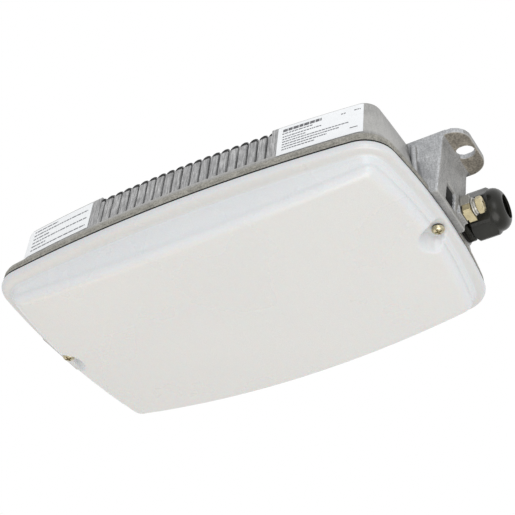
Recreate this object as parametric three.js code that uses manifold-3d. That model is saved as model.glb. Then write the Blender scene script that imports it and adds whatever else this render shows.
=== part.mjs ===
// LED bulkhead luminaire: finned cast housing, opal cover, gland, earth clamp and control gear.
// Millimetres. Origin at the centre of the ceiling plane, +Z up, +X towards the cable gland.
import * as THREE from 'three';
import Module from 'manifold-3d';

const wasm = await Module();
wasm.setup();

// ---------------------------------------------------------------- driving dimensions
const BOW = { rim: [8.5, 10.3], low: [6.5, 9.8], top: [3.2, 9], root: [8.7, 7.5], face: [9, 5] };
const RIM = { hx: 150, hy: 96, rc: 22 };
const WALL_TOP = { hx: 139.5, hy: 87, rc: 11 };
const WALL_LOW = { hx: 144.8, hy: 90.8, rc: 17, z: -33.4 };
const FLANGE = { hx: 149.4, hy: 95.4, bottom: -41 };
const FINS = { count: 20, first: -60.5, pitch: 6.86, thick: 5.8, round: 2 };
const TRENCH = { root: -11, low: -27, core: 84.2, lead: 8 };
const CAVITY = { hx: 136.4, hy: 80, rc: 16, bow: [6, 6], draft: 3 };
const ROOF = { fins: -14.2, pocket: -4.2, pocketFrom: 74 };
const GASKET = { hx: 147.9, hy: 93.9, width: 1.9, top: -39.5, bottom: -41.3 };
const COVER = { top: -41.7, lip: 5.2, wall: 2.8, edge: -56.8, crown: 10, edgeR: 6 };
const BOWL = { hx: 143.6, hy: 86, rc: 15 };
const FACE = { hx: 142, hy: 81.8, rc: 7.4 };
const SCREW = { x: 142.7, head: 4.3, shank: 2.4, hole: 2.6 };
const SCALLOP = { top: 7.6, bottom: 12.4 };
const LUG = { root: 122, tip: 178, y0: -33, y1: 9.6, r: 12, thick: 4 };
const LUG_HOLE = { x: 170, y: -12, r: 5.3, slot: 0.8 };
const NOSE = { topX: 163.3, lowX: 154.2, topY: [-32.8, 6.4], lowY: [-25.5, 18.5], r: 2.4 };
const GLAND = { y: 34, z: -17, face: 147.5, boss: 16.8, bore: 12.6 };
const EARTH = { y: 9.2, z: -31.5, face: 157.4 };
const TRAY = { x0: -119, x1: 128, hy: 72, rc: 10, top: -31.3, thick: 1.2 };
const TRAY_SCREWS = [[-109, -62], [118, -62], [-109, 62], [118, 62]];
const BOARD = { x0: -96, x1: 76, y: 36, half: 12, top: -32.8, thick: 1.6, leds: 6 };
const DRIVER = { x0: -117, x1: -72, half: 50, top: -4.6, split: -26.4, bottom: -29 };
const TERMINAL = { x0: 88, x1: 110, y0: 12, pole: 14, top: -4.5, bottom: -22, wire: -12.5 };
const INNER_EARTH = { x: 101, y: -56, seat: -27 };
const LABEL = { gap: 0.22, skin: 0.28, columns: 16, wrap: 6 };
const SEAM = 0.3;
const BLOCK_LOW = -34;
const WEST = 0.94;

// ---------------------------------------------------------------- solid helpers
function solid(geometry) {
  const g = geometry.clone();
  g.deleteAttribute('normal');
  g.deleteAttribute('uv');
  const m = mergePoints(g);
  return new wasm.Manifold(new wasm.Mesh({ numProp: 3, vertProperties: m.points, triVerts: m.faces }));
}

function mergePoints(geometry) {
  const source = geometry.index ? geometry.toNonIndexed() : geometry;
  const position = source.getAttribute('position');
  const seen = new Map();
  const points = [];
  const corner = [];
  for (let i = 0; i < position.count; i++) {
    const p = [position.getX(i), position.getY(i), position.getZ(i)];
    const key = p.map((v) => Math.round(v * 1e4)).join();
    if (!seen.has(key)) {
      seen.set(key, points.length / 3);
      points.push(...p);
    }
    corner.push(seen.get(key));
  }
  const faces = [];
  for (let i = 0; i < corner.length; i += 3) {
    const [a, b, c] = corner.slice(i, i + 3);
    if (a !== b && b !== c && c !== a) faces.push(a, b, c);
  }
  return { points: new Float32Array(points), faces: new Uint32Array(faces) };
}

function toGeometry(manifold) {
  const mesh = manifold.getMesh();
  const points = new Float32Array(mesh.numVert * 3);
  for (let i = 0; i < mesh.numVert; i++) {
    for (let k = 0; k < 3; k++) points[3 * i + k] = mesh.vertProperties[mesh.numProp * i + k];
  }
  const geometry = new THREE.BufferGeometry();
  geometry.setAttribute('position', new THREE.BufferAttribute(points, 3));
  geometry.setIndex(new THREE.BufferAttribute(new Uint32Array(mesh.triVerts), 1));
  geometry.computeVertexNormals();
  return geometry;
}

const join = (first, ...rest) => rest.reduce((all, next) => all.add(next), first);
const cut = (first, ...rest) => rest.reduce((all, next) => all.subtract(next), first);

// Closed skin over rings of equal length. With tube set, the last ring joins the first.
function loft(rings, tube = false) {
  const n = rings[0].length;
  const points = rings.flat();
  const faces = [];
  const last = tube ? rings.length : rings.length - 1;
  for (let r = 0; r < last; r++) {
    const a = r * n;
    const b = ((r + 1) % rings.length) * n;
    for (let i = 0; i < n; i++) {
      const j = (i + 1) % n;
      faces.push(a + i, a + j, b + j, a + i, b + j, b + i);
    }
  }
  if (!tube) {
    for (const [ring, flip] of [[0, true], [rings.length - 1, false]]) {
      const centre = new THREE.Vector3();
      rings[ring].forEach((p) => centre.add(p));
      centre.multiplyScalar(1 / n);
      points.push(centre);
      for (let i = 0; i < n; i++) {
        const a = ring * n + i;
        const b = ring * n + (i + 1) % n;
        faces.push(points.length - 1, flip ? b : a, flip ? a : b);
      }
    }
  }
  const geometry = new THREE.BufferGeometry().setFromPoints(points);
  geometry.setIndex(faces);
  return geometry;
}

// Quarter of a bowed rectangle: arcs for the long side, the corner and the short end.
function quarter(hx, hy, bowX, bowY, rc, steps) {
  const longR = (hx * hx + bowY * bowY) / (2 * bowY);
  const shortR = (hy * hy + bowX * bowX) / (2 * bowX);
  const c1 = new THREE.Vector2(0, hy - longR);
  const c2 = new THREE.Vector2(hx - shortR, 0);
  const span = c2.clone().sub(c1);
  const d = span.length();
  const along = ((longR - rc) ** 2 - (shortR - rc) ** 2 + d * d) / (2 * d);
  const off = Math.sqrt((longR - rc) ** 2 - along * along);
  const unit = span.clone().divideScalar(d);
  let k = c1.clone().addScaledVector(unit, along);
  k.addScaledVector(new THREE.Vector2(-unit.y, unit.x), off);
  if (k.x < 0 || k.y < 0) {
    k = c1.clone().addScaledVector(unit, along).addScaledVector(new THREE.Vector2(unit.y, -unit.x), off);
  }
  const t1 = Math.atan2(k.y - c1.y, k.x - c1.x);
  const t2 = Math.atan2(k.y - c2.y, k.x - c2.x);
  const arc = (centre, radius, from, to, count) => Array.from({ length: count }, (_, i) => {
    const t = from + ((to - from) * i) / count;
    return new THREE.Vector2(centre.x + radius * Math.cos(t), centre.y + radius * Math.sin(t));
  });
  const [a, b, c] = steps;
  return [
    ...arc(c1, longR, Math.PI / 2, t1, a),
    ...arc(k, rc, t1, t2, b),
    ...arc(c2, shortR, t2, 0, c),
    new THREE.Vector2(hx, 0),
  ];
}

// Full bowed rectangle, counter-clockwise from above, at height z (a number or a function of x and y).
function outline(hx, hy, bow, rc, z, steps = [5, 5, 3]) {
  const q = quarter(hx, hy, bow[0], bow[1], rc, steps).reverse();
  const inner = q.slice(1, -1).reverse();
  const ring = [
    ...q,
    ...inner.map((p) => new THREE.Vector2(-p.x, p.y)),
    ...q.map((p) => new THREE.Vector2(-p.x, -p.y)),
    ...inner.map((p) => new THREE.Vector2(p.x, -p.y)),
  ];
  const height = typeof z === 'function' ? z : () => z;
  return ring.map((p) => new THREE.Vector3(p.x, p.y, height(p.x, p.y)));
}

function box(x0, x1, y0, y1, z0, z1) {
  const g = new THREE.BoxGeometry(x1 - x0, y1 - y0, z1 - z0);
  return g.translate((x0 + x1) / 2, (y0 + y1) / 2, (z0 + z1) / 2);
}

// Upright round solid from z0 to z1, with its own radius at each end.
function post(x, y, z0, z1, r0, r1 = r0, sides = 16) {
  const g = new THREE.CylinderGeometry(r1, r0, z1 - z0, sides);
  return g.rotateX(Math.PI / 2).translate(x, y, (z0 + z1) / 2);
}

// Solid of revolution about the X direction; the profile lists [x, radius].
function turned(profile, y, z, sides = 24, phase = 0) {
  const shape = profile.map(([x, r]) => new THREE.Vector2(r, x));
  return new THREE.LatheGeometry(shape, sides, phase).rotateZ(-Math.PI / 2).translate(0, y, z);
}

// Same about Z, with the profile as [z, radius].
function spun(profile, x, y, sides = 24, phase = 0) {
  const shape = profile.map(([z, r]) => new THREE.Vector2(r, z));
  return new THREE.LatheGeometry(shape, sides, phase).rotateX(Math.PI / 2).translate(x, y, 0);
}

// Flat plate from a drawn outline in X and Y.
function plate(shape, z0, z1, segments = 6) {
  const g = new THREE.ExtrudeGeometry(shape, { depth: z1 - z0, bevelEnabled: false, curveSegments: segments });
  return g.translate(0, 0, z0);
}

const halfTurn = (geometry) => geometry.clone().rotateZ(Math.PI);

// Rounded rectangle at height z, counter-clockwise from above.
function roundedRect(x0, x1, y0, y1, r, z, steps = 3) {
  const corners = [[x1 - r, y1 - r, 0], [x0 + r, y1 - r, 1], [x0 + r, y0 + r, 2], [x1 - r, y0 + r, 3]];
  return corners.flatMap(([cx, cy, turn]) => Array.from({ length: steps + 1 }, (_, i) => {
    const t = ((turn + i / steps) * Math.PI) / 2;
    return new THREE.Vector3(cx + r * Math.cos(t), cy + r * Math.sin(t), z);
  }));
}

// Round bar through a smooth path.
function bar(path, radius, steps, sides = 3) {
  const curve = new THREE.CatmullRomCurve3(path.map((p) => new THREE.Vector3(...p)), false, 'centripetal');
  const ring = new THREE.Shape();
  ring.absarc(0, 0, radius, 0, 2 * Math.PI);
  const options = { steps, extrudePath: curve, curveSegments: sides, bevelEnabled: false };
  return new THREE.ExtrudeGeometry(ring, options);
}

// Hexagonal prism along X, flats up and down.
function hexAlongX(acrossFlats, x0, x1, y, z) {
  const r = acrossFlats / Math.sqrt(3);
  return turned([[x0, 0], [x0, r], [x1, r], [x1, 0]], y, z, 6, Math.PI / 6);
}

// ---------------------------------------------------------------- cast housing
// The walls and the cavity stand further in from the flange at the west end than at the east end.
const shortWest = (ring) => ring.map((p) => (p.x < 0 ? p.clone().setX(p.x * WEST) : p));

const WALL_STEPS = [5, 7, 3];
const wallTop = shortWest(outline(WALL_TOP.hx, WALL_TOP.hy, BOW.top, WALL_TOP.rc, -1, WALL_STEPS));
const wallLow = shortWest(outline(WALL_LOW.hx, WALL_LOW.hy, BOW.low, WALL_LOW.rc, WALL_LOW.z, WALL_STEPS));

function wallRing(z) {
  const t = (-1 - z) / (-1 - WALL_LOW.z);
  return wallTop.map((p, i) => p.clone().lerp(wallLow[i], t));
}

// Half-width of the outer side wall at a station x and height z.
function wallY(x, z) {
  const ring = wallRing(z).filter((p) => p.y < 0);
  ring.sort((a, b) => a.x - b.x);
  const k = Math.max(1, ring.findIndex((p) => p.x >= x));
  const [a, b] = [ring[k - 1], ring[k]];
  return -(a.y + ((b.y - a.y) * (x - a.x)) / (b.x - a.x));
}

// Outer form of the walls and flange. With a gap, it is larger all round and runs past top and bottom.
function shell(gap = 0) {
  const past = 3 * gap;
  const wall = (size, bow, inset, z) => {
    const grow = gap - inset;
    return shortWest(outline(size.hx + grow, size.hy + grow, bow, size.rc + grow, z, WALL_STEPS));
  };
  const edge = (inset, z) => {
    const grow = gap - inset;
    return outline(FLANGE.hx + grow, FLANGE.hy + grow, BOW.rim, RIM.rc - 0.6 + grow, z);
  };
  const sides = loft([
    wall(WALL_LOW, BOW.low, 0, WALL_LOW.z - 2),
    wall(WALL_LOW, BOW.low, 0, WALL_LOW.z),
    wall(WALL_TOP, BOW.top, 0, -1),
    wall(WALL_TOP, BOW.top, 0.9, past),
  ]);
  const band = loft([
    edge(0, FLANGE.bottom - past),
    edge(0, WALL_LOW.z - 1.2 + gap),
    edge(1.2, WALL_LOW.z + gap),
  ]);
  return join(solid(sides), solid(band));
}

// Everything above the cooling floor between the two label blocks.
function finTrench() {
  const x0 = FINS.first - FINS.thick / 2;
  const x1 = FINS.first + FINS.pitch * (FINS.count - 1) + FINS.thick / 2;
  const rib = new THREE.Shape([
    new THREE.Vector2(-TRENCH.core, TRENCH.low - 2),
    new THREE.Vector2(TRENCH.core, TRENCH.low - 2),
    new THREE.Vector2(TRENCH.core, TRENCH.root - TRENCH.lead),
    new THREE.Vector2(TRENCH.core - TRENCH.lead, TRENCH.root),
    new THREE.Vector2(TRENCH.lead - TRENCH.core, TRENCH.root),
    new THREE.Vector2(-TRENCH.core, TRENCH.root - TRENCH.lead),
  ]);
  const core = standUp(new THREE.ExtrudeGeometry(rib, { depth: x1 - x0 + 2, bevelEnabled: false }), x0 - 1);
  return cut(solid(box(x0, x1, -110, 110, TRENCH.low, 6)), solid(core));
}

// Turn a shape drawn in Y and Z and extruded in its own depth so that the depth runs along X.
function standUp(geometry, x) {
  const swap = new THREE.Matrix4().set(0, 0, 1, x, 1, 0, 0, 0, 0, 1, 0, 0, 0, 0, 0, 1);
  return geometry.applyMatrix4(swap);
}

function fin(x) {
  const low = wallY(x, TRENCH.low) - 0.3;
  const high = wallY(x, -4) - 0.3;
  const s = new THREE.Shape();
  s.moveTo(-low, TRENCH.low - 2);
  s.lineTo(low, TRENCH.low - 2);
  s.lineTo(high, -4);
  s.quadraticCurveTo(high - 0.4, 0, high - 4, 0);
  s.lineTo(4 - high, 0);
  s.quadraticCurveTo(0.4 - high, 0, -high, -4);
  const r = FINS.round;
  const options = { depth: FINS.thick - 2 * r, bevelThickness: r, bevelSize: r, bevelOffset: -r };
  const g = new THREE.ExtrudeGeometry(s, { ...options, bevelSegments: 1, curveSegments: 2 });
  return solid(standUp(g, x - FINS.thick / 2 + r));
}

function cavity() {
  const { hx, hy, rc, bow, draft } = CAVITY;
  const room = (top) => solid(loft([
    outline(hx, hy, bow, rc, -50),
    outline(hx, hy, bow, rc, top - draft),
    outline(hx - draft, hy - draft, bow, rc - draft, top),
  ].map(shortWest)));
  const east = solid(box(ROOF.pocketFrom, RIM.hx, -RIM.hy, RIM.hy, -60, 0));
  const west = solid(box(-RIM.hx, 4 - ROOF.pocketFrom, -RIM.hy, RIM.hy, -60, 0));
  return join(room(ROOF.fins), room(ROOF.pocket).intersect(join(east, west)));
}

function lug() {
  const { root, tip, y0, y1, r } = LUG;
  const s = new THREE.Shape();
  s.moveTo(root, y0);
  s.lineTo(tip - r, y0);
  s.absarc(tip - r, y0 + r, r, -Math.PI / 2, 0);
  s.absarc(tip - r, y1 - r, r, 0, Math.PI / 2);
  s.lineTo(root, y1);
  const slot = new THREE.Path();
  slot.absarc(LUG_HOLE.x + LUG_HOLE.slot, LUG_HOLE.y, LUG_HOLE.r, -Math.PI / 2, Math.PI / 2);
  slot.absarc(LUG_HOLE.x - LUG_HOLE.slot, LUG_HOLE.y, LUG_HOLE.r, Math.PI / 2, (3 * Math.PI) / 2);
  s.holes.push(slot);
  return plate(s, -LUG.thick, 0, 8);
}

// Hollow casting below the lug, leaning back towards the flange.
function nose() {
  const { topX, lowX, topY, lowY, r } = NOSE;
  return loft([
    roundedRect(LUG.root, lowX, lowY[0], lowY[1], r, FLANGE.bottom),
    roundedRect(LUG.root, topX, topY[0], topY[1], r, -6.5),
    roundedRect(LUG.root, topX + 0.9, topY[0] - 0.1, topY[1] + 0.8, r, -4.2),
    roundedRect(LUG.root, topX + 0.9, topY[0] - 0.1, topY[1] + 0.8, r, -2),
  ]);
}

function noseWindow() {
  return loft([
    roundedRect(148, 165, -13.4, 0.6, 0.8, -38.6, 2),
    roundedRect(148, 165, -15.4, -2.4, 0.8, -29, 2),
  ]);
}

function glandBoss() {
  const { y, z, face, boss } = GLAND;
  return turned([[LUG.root, 0], [LUG.root, boss], [face - 0.8, boss], [face, boss - 0.8], [face, 0]], y, z, 32);
}

function gasketRing(grow, top, bottom) {
  const ring = (d, z) => outline(GASKET.hx - d, GASKET.hy - d, BOW.rim, RIM.rc - 2.1 - d, z);
  const w = GASKET.width + grow;
  return loft([ring(w, bottom), ring(-grow, bottom), ring(-grow, top), ring(w, top)], true);
}

const screwBore = (x) => post(x, 0, -45, -24, SCREW.hole);

// Fixing lug and hollow nose of one end, up to the seam with the end wall.
function endLug(place, ...added) {
  const body = join(...[lug(), nose(), ...added].map((g) => solid(place(g))));
  const holes = [noseWindow(), screwBore(SCREW.x)];
  return cut(body, shell(SEAM), ...holes.map((g) => solid(place(g))));
}

const earthTap = () => solid(turned([[147, 0], [147, 3.1], [165, 3.1], [165, 0]], EARTH.y, EARTH.z, 16));

// The east end also carries the flat seat and tapped hole of the earth clamp.
function eastLug() {
  const { y, z, face } = EARTH;
  const seat = box(148, face, y - 6.2, y + 6.2, z - 6.6, z + 6.6);
  const spotFace = box(face, 170, y - 7, y + 7, z - 6.8, z + 7);
  return cut(endLug((g) => g, seat), solid(spotFace), earthTap());
}

// The casting is parted by upright planes at the inner faces of the first and the last fin.
const PART_WEST = FINS.first + FINS.thick / 2;
const PART_EAST = FINS.first + FINS.pitch * (FINS.count - 1) - FINS.thick / 2;

// Rooms of the finned deck and of the two end blocks, which stand on the flange.
const deckRoom = (gap) => solid(box(PART_WEST + gap, PART_EAST - gap, -110, 110, TRENCH.low + gap, 6));
const eastRoom = (gap) => solid(box(PART_EAST + gap, 160, -110, 110, BLOCK_LOW + gap, 6));
const westRoom = (gap) => solid(box(-160, PART_WEST - gap, -110, 110, BLOCK_LOW + gap, 6));

// Walls, flange, roofs, bosses and fins in one, before the casting is parted.
function casting() {
  const { x: earthX, y: earthY, seat: earthSeat } = INNER_EARTH;
  const bosses = [glandBoss(), halfTurn(glandBoss())];
  let body = cut(join(shell(), ...bosses.map(solid)), finTrench());
  for (let i = 0; i < FINS.count; i++) body = body.add(fin(FINS.first + i * FINS.pitch));
  body = body.subtract(cavity());
  const inner = [post(earthX, earthY, earthSeat, -3, 5.4, 6.4)];
  for (const [x, y] of TRAY_SCREWS) inner.push(post(x, y, TRAY.top + 0.3, -3, 4.6, 5.6));
  body = join(body, ...inner.map(solid));
  const bore = turned([[120, 0], [120, GLAND.bore], [160, GLAND.bore], [160, 0]], GLAND.y, GLAND.z, 32);
  const holes = [bore, halfTurn(bore), screwBore(SCREW.x), screwBore(-SCREW.x)];
  holes.push(gasketRing(0.3, GASKET.top + 0.3, FLANGE.bottom - 1), post(earthX, earthY, -30, -16, 2.1));
  for (const [x, y] of TRAY_SCREWS) holes.push(post(x, y, -34, -19, 1.8, 1.8, 12));
  return cut(body, ...holes.map(solid), earthTap());
}

// Cross recess in a screw head that faces down: two upright slots.
function crossRecess(x, y, reach, half, z0, z1) {
  const wide = box(x - reach, x + reach, y - half, y + half, z0, z1);
  const deep = box(x - half, x + half, y - reach, y + reach, z0, z1);
  return [solid(wide), solid(deep)];
}

// ---------------------------------------------------------------- opal cover and its fastening
const crownAt = (x) => COVER.crown * (1 - Math.min(1, (x / FACE.hx) ** 2));

// Face, rounded edge and wall of the bowl, inset from the outer skin and stacked from below.
function bowlRings(inset) {
  const radius = COVER.edgeR - inset;
  const size = { hx: FACE.hx - inset, hy: FACE.hy - inset, rc: Math.max(FACE.rc - inset, radius + 1) };
  const low = COVER.edge + inset;
  const flat = [0.25, 0.6, 0.85].map((s) => {
    const bow = BOW.face.map((v) => v * s);
    const z = (x) => low - crownAt(x);
    return outline((size.hx - radius) * s, (size.hy - radius) * s, bow, (size.rc - radius) * s, z);
  });
  const edge = [90, 60, 30, 0].map((deg) => {
    const t = THREE.MathUtils.degToRad(deg);
    const d = radius * (1 - Math.cos(t));
    const z = (x) => low + radius * (1 - Math.sin(t)) - crownAt(x);
    return outline(size.hx - d, size.hy - d, BOW.face, size.rc - d, z);
  });
  return [...flat, ...edge];
}

function scallop(x, grow) {
  return post(x, 0, -60, COVER.top - COVER.lip, SCALLOP.bottom + grow + 1.4, SCALLOP.top + grow, 24);
}

function opalCover() {
  const floor = COVER.top - COVER.lip;
  const outer = solid(loft([
    ...bowlRings(0),
    outline(BOWL.hx, BOWL.hy, BOW.root, BOWL.rc, floor - 2.6),
    outline(BOWL.hx + 0.7, BOWL.hy + 0.8, BOW.root, BOWL.rc + 0.8, floor - 1.2),
    outline(BOWL.hx + 2.2, BOWL.hy + 2.4, BOW.root, BOWL.rc + 2.4, floor - 0.3),
    outline(RIM.hx - 2.9, RIM.hy - 3.2, BOW.rim, RIM.rc - 3, floor),
    outline(RIM.hx - 0.8, RIM.hy - 0.9, BOW.rim, RIM.rc - 0.8, floor + 1),
    outline(RIM.hx, RIM.hy, BOW.rim, RIM.rc, floor + 2.6),
    outline(RIM.hx, RIM.hy, BOW.rim, RIM.rc, COVER.top),
  ]));
  const throat = (z) => outline(BOWL.hx - COVER.wall, BOWL.hy - COVER.wall, BOW.root, BOWL.rc - 2, z);
  let inner = solid(loft([...bowlRings(COVER.wall), throat(floor - 2), throat(COVER.top + 2)]));
  let body = outer;
  for (const x of [SCREW.x, -SCREW.x]) {
    inner = inner.subtract(solid(post(x, 0, -64, COVER.top + 3, SCALLOP.bottom + 4.6, SCALLOP.top + 1.6, 24)));
    body = body.subtract(solid(scallop(x, 0)));
    body = body.subtract(solid(post(x, 0, -60, -38, 2.8)));
  }
  return body.subtract(inner);
}

const coverGasket = () => gasketRing(0, GASKET.top, GASKET.bottom);

function coverScrew(x) {
  const under = COVER.top - COVER.lip - 1.5;
  const { head, shank } = SCREW;
  const body = spun([
    [under - 2.8, 0], [under - 2.7, 1.5], [under - 2.1, 3.4], [under - 1.2, head], [under, head],
    [under, shank], [-27, shank], [-26.2, shank - 0.6], [-26.2, 0],
  ], x, 0, 20);
  return cut(solid(body), ...crossRecess(x, 0, 2.1, 0.45, under - 4, under - 1.3));
}

function screwRing(x) {
  const top = COVER.top - COVER.lip - 0.3;
  const round = [[top - 0.9, 2.7], [top - 0.9, 3.7], [top - 0.45, 4], [top, 3.7], [top, 2.7], [top - 0.9, 2.7]];
  return spun(round, x, 0, 20);
}

// ---------------------------------------------------------------- gear inside
function gearTray() {
  const { x0, x1, hy, rc, top, thick } = TRAY;
  const rim = (inset, z) => roundedRect(x0 + inset, x1 - inset, inset - hy, hy - inset, rc - inset, z);
  const pan = (inset, z0, z1) => solid(loft([rim(inset, z0), rim(inset, z1)]));
  const service = box(TERMINAL.x0 - 4, x1 - 3, TERMINAL.y0 - 4, 52, -40, -20);
  const wireWay = post(-60, 0, -40, -20, 5);
  const earthWay = post(INNER_EARTH.x, INNER_EARTH.y, -40, -20, 9);
  const screwWays = TRAY_SCREWS.map(([x, y]) => post(x, y, -40, -30.5, 2, 2, 12));
  const holes = [service, wireWay, earthWay, ...screwWays];
  return cut(pan(0, top - thick, top + 3), pan(thick, top, top + 9), ...holes.map(solid));
}

function trayScrew(x, y) {
  const z = TRAY.top - TRAY.thick - 0.3;
  const head = [[z - 1.9, 0], [z - 1.7, 2.2], [z - 0.9, 3.2], [z, 3.2]];
  const shank = [[z, 1.6], [-22, 1.6], [-21, 0]];
  const body = spun([...head, ...shank], x, y, 12);
  return cut(solid(body), ...crossRecess(x, y, 1.5, 0.35, z - 3, z - 1));
}

function ledBoard(y) {
  const { x0, x1, half, top, thick } = BOARD;
  return box(x0, x1, y - half, y + half, top - thick, top);
}

function ledPackage(index, y) {
  const pitch = (BOARD.x1 - BOARD.x0) / BOARD.leds;
  const x = BOARD.x0 + pitch * (index + 0.5);
  const z = BOARD.top - BOARD.thick - 0.15;
  return loft([
    roundedRect(x - 2.3, x + 2.3, y - 2.3, y + 2.3, 0.8, z - 1.4, 1),
    roundedRect(x - 2.6, x + 2.6, y - 2.6, y + 2.6, 0.6, z - 0.9, 1),
    roundedRect(x - 2.6, x + 2.6, y - 2.6, y + 2.6, 0.6, z, 1),
  ]);
}

const alongX = (x0, x1, y, z, r, sides = 12) => turned([[x0, 0], [x0, r], [x1, r], [x1, 0]], y, z, sides);

function driverCase() {
  const { x0, x1, half, top, split } = DRIVER;
  const shell = loft([
    roundedRect(x0, x1, -half, half, 3, split),
    roundedRect(x0, x1, -half, half, 3, top - 1.5),
    roundedRect(x0 + 1.5, x1 - 1.5, 1.5 - half, half - 1.5, 2, top),
  ]);
  const sockets = [38, 26, -14, -26].map((y) => alongX(x1 - 8, x1 + 2, y, -20, 1.7));
  const panels = [half - 1, -half - 2].map((y) => box(-110, -84, y, y + 3, -24, -8));
  return cut(solid(shell), ...[...sockets, ...panels].map(solid));
}

function driverLid() {
  const { x0, x1, half, split, bottom } = DRIVER;
  const lid = loft([
    roundedRect(x0 + 1, x1 - 1, 1 - half, half - 1, 2, bottom),
    roundedRect(x0, x1, -half, half, 3, bottom + 1),
    roundedRect(x0, x1, -half, half, 3, split - 0.3),
  ]);
  const rows = [-36, -28, -20, 20, 28, 36];
  const vents = rows.map((y) => box(x0 + 14, x1 - 14, y - 1, y + 1, bottom - 1, bottom + 1.2));
  return cut(solid(lid), ...vents.map(solid));
}

const poleY = (index) => TERMINAL.y0 + TERMINAL.pole * (index + 0.5);

function terminalBlock() {
  const { x0, x1, y0, pole, top, bottom, wire } = TERMINAL;
  const mid = (x0 + x1) / 2;
  const cuts = [];
  for (let i = 0; i < 3; i++) {
    const y = poleY(i);
    cuts.push(post(mid, y, bottom - 1, bottom + 6, 3.2));
    cuts.push(alongX(x0 - 1, x0 + 7, y, wire, 2));
    cuts.push(alongX(x1 - 7, x1 + 1, y, wire, 2.4));
  }
  for (let i = 1; i < 3; i++) {
    const edge = y0 + pole * i;
    cuts.push(box(x0 - 1, x1 + 1, edge - 0.7, edge + 0.7, bottom - 1, bottom + 4));
  }
  const body = loft([
    roundedRect(x0, x1, y0, y0 + 3 * pole, 1.2, bottom, 1),
    roundedRect(x0, x1, y0, y0 + 3 * pole, 1.2, top, 1),
  ]);
  return cut(solid(body), ...cuts.map(solid));
}

function terminalScrew(index) {
  const x = (TERMINAL.x0 + TERMINAL.x1) / 2;
  const y = poleY(index);
  const low = TERMINAL.bottom + 1;
  const body = spun([[low, 0], [low, 2.5], [low + 0.4, 2.8], [low + 4.4, 2.8], [low + 4.4, 0]], x, y, 14);
  return cut(solid(body), solid(box(x - 3, x + 3, y - 0.4, y + 0.4, low - 1, low + 1.2)));
}

function innerEarthWasher() {
  const { x, y, seat } = INNER_EARTH;
  const [low, high] = [seat - 1.2, seat - 0.3];
  return spun([[low, 2.3], [low, 4.6], [high, 4.6], [high, 2.3], [low, 2.3]], x, y, 16);
}

function innerEarthScrew() {
  const { x, y, seat } = INNER_EARTH;
  const z = seat - 1.5;
  const head = [[z - 2.4, 0], [z - 2.2, 2.4], [z - 1.4, 3.6], [z, 3.6]];
  const shank = [[z, 1.9], [-18.5, 1.9], [-17.5, 0]];
  const body = spun([...head, ...shank], x, y, 14);
  return cut(solid(body), solid(box(x - 3, x + 3, y - 0.4, y + 0.4, z - 3, z - 1.4)));
}

const wirePaths = {
  live_wire: [
    [-79, 38, -20], [-66, 38, -20], [-20, 32, -21], [50, 20, -21],
    [74, 19, -19], [83, 19, -12.5], [92, 19, -12.5],
  ],
  neutral_wire: [
    [-79, 26, -20], [-66, 26, -20], [-20, 25, -25], [50, 32, -25],
    [75, 33, -19], [83, 33, -12.5], [92, 33, -12.5],
  ],
  earth_wire: [
    [92, 47, -12.5], [84, 47, -12.5], [79, 46, -20], [80, 34, -27],
    [82, 0, -27.5], [88, -40, -27.5], [96, -52, -29.6],
  ],
};

const ledPaths = {
  led_wire_plus: [
    [-79, -14, -20], [-70, -14, -20], [-61, -3, -26],
    [-60, -2, -33], [-60, -14, -37], [-60, -24.5, -36],
  ],
  led_wire_minus: [
    [-79, -26, -20], [-70, -26, -20], [-58, 0, -24],
    [-60, 2, -33], [-60, 14, -37], [-60, 24.5, -36],
  ],
  led_link_wire: [[70, -25, -36], [71, -14, -37.5], [71, 14, -37.5], [70, 25, -36]],
};

// ---------------------------------------------------------------- cable entries
function glandBody() {
  const { y, z, face } = GLAND;
  const hex = hexAlongX(27, face + 1.8, face + 5.6, y, z);
  const core = turned([
    [face - 14, 8.6], [face - 14, 11.6], [face - 13, 12.4], [face + 2, 12.4], [face + 5, 12.4],
    [face + 5.6, 11], [face + 14.6, 11], [face + 15.4, 10.4], [face + 15.4, 8.6], [face - 14, 8.6],
  ], y, z, 28);
  const tunnel = turned([[face - 20, 0], [face - 20, 8.6], [face + 20, 8.6], [face + 20, 0]], y, z, 28);
  return cut(join(solid(core), solid(hex)), solid(tunnel));
}

function sealingRing() {
  const { y, z, face } = GLAND;
  const [near, far] = [face + 0.3, face + 1.5];
  return turned([[near, 12.7], [near, 15], [far, 15], [far, 12.7], [near, 12.7]], y, z, 28);
}

function glandSeal() {
  const { y, z, face } = GLAND;
  const x = face + 3;
  return turned([[x, 5], [x, 8.2], [x + 15, 8.2], [x + 17, 7.4], [x + 17, 5], [x, 5]], y, z, 20);
}

function glandClaw() {
  const { y, z, face } = GLAND;
  const x = face + 15.8;
  const body = turned([[x, 8.8], [x, 11.1], [x + 3, 11.1], [x + 8, 10], [x + 8, 8.8], [x, 8.8]], y, z, 24);
  const slots = [0, 1, 2].map((i) => {
    const slot = new THREE.BoxGeometry(6, 1.4, 30).translate(x + 6.6, 0, 0);
    return solid(slot.rotateX((i * Math.PI) / 3).translate(0, y, z));
  });
  return cut(solid(body), ...slots);
}

function glandCap() {
  const { y, z, face } = GLAND;
  const x = face + 6.6;
  const domed = turned([
    [x, 0], [x, 15.2], [x + 1.2, 16.3], [x + 15, 16.3], [x + 16.2, 15.2], [x + 16.6, 14.6],
    [x + 20, 13.9], [x + 23, 12], [x + 24.4, 9.6], [x + 24.4, 0],
  ], y, z, 24);
  const hex = join(solid(hexAlongX(29.6, x, x + 16.3, y, z)), solid(alongX(x + 10, x + 26, y, z, 14.7, 24)));
  const hollow = turned([
    [x - 1, 0], [x - 1, 11.3], [x + 9.2, 11.3], [x + 9.2, 11.6], [x + 17.6, 11.6],
    [x + 22, 9.6], [x + 23, 8.1], [x + 25, 8.1], [x + 25, 0],
  ], y, z, 24);
  return cut(solid(domed).intersect(hex), solid(hollow));
}

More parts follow.
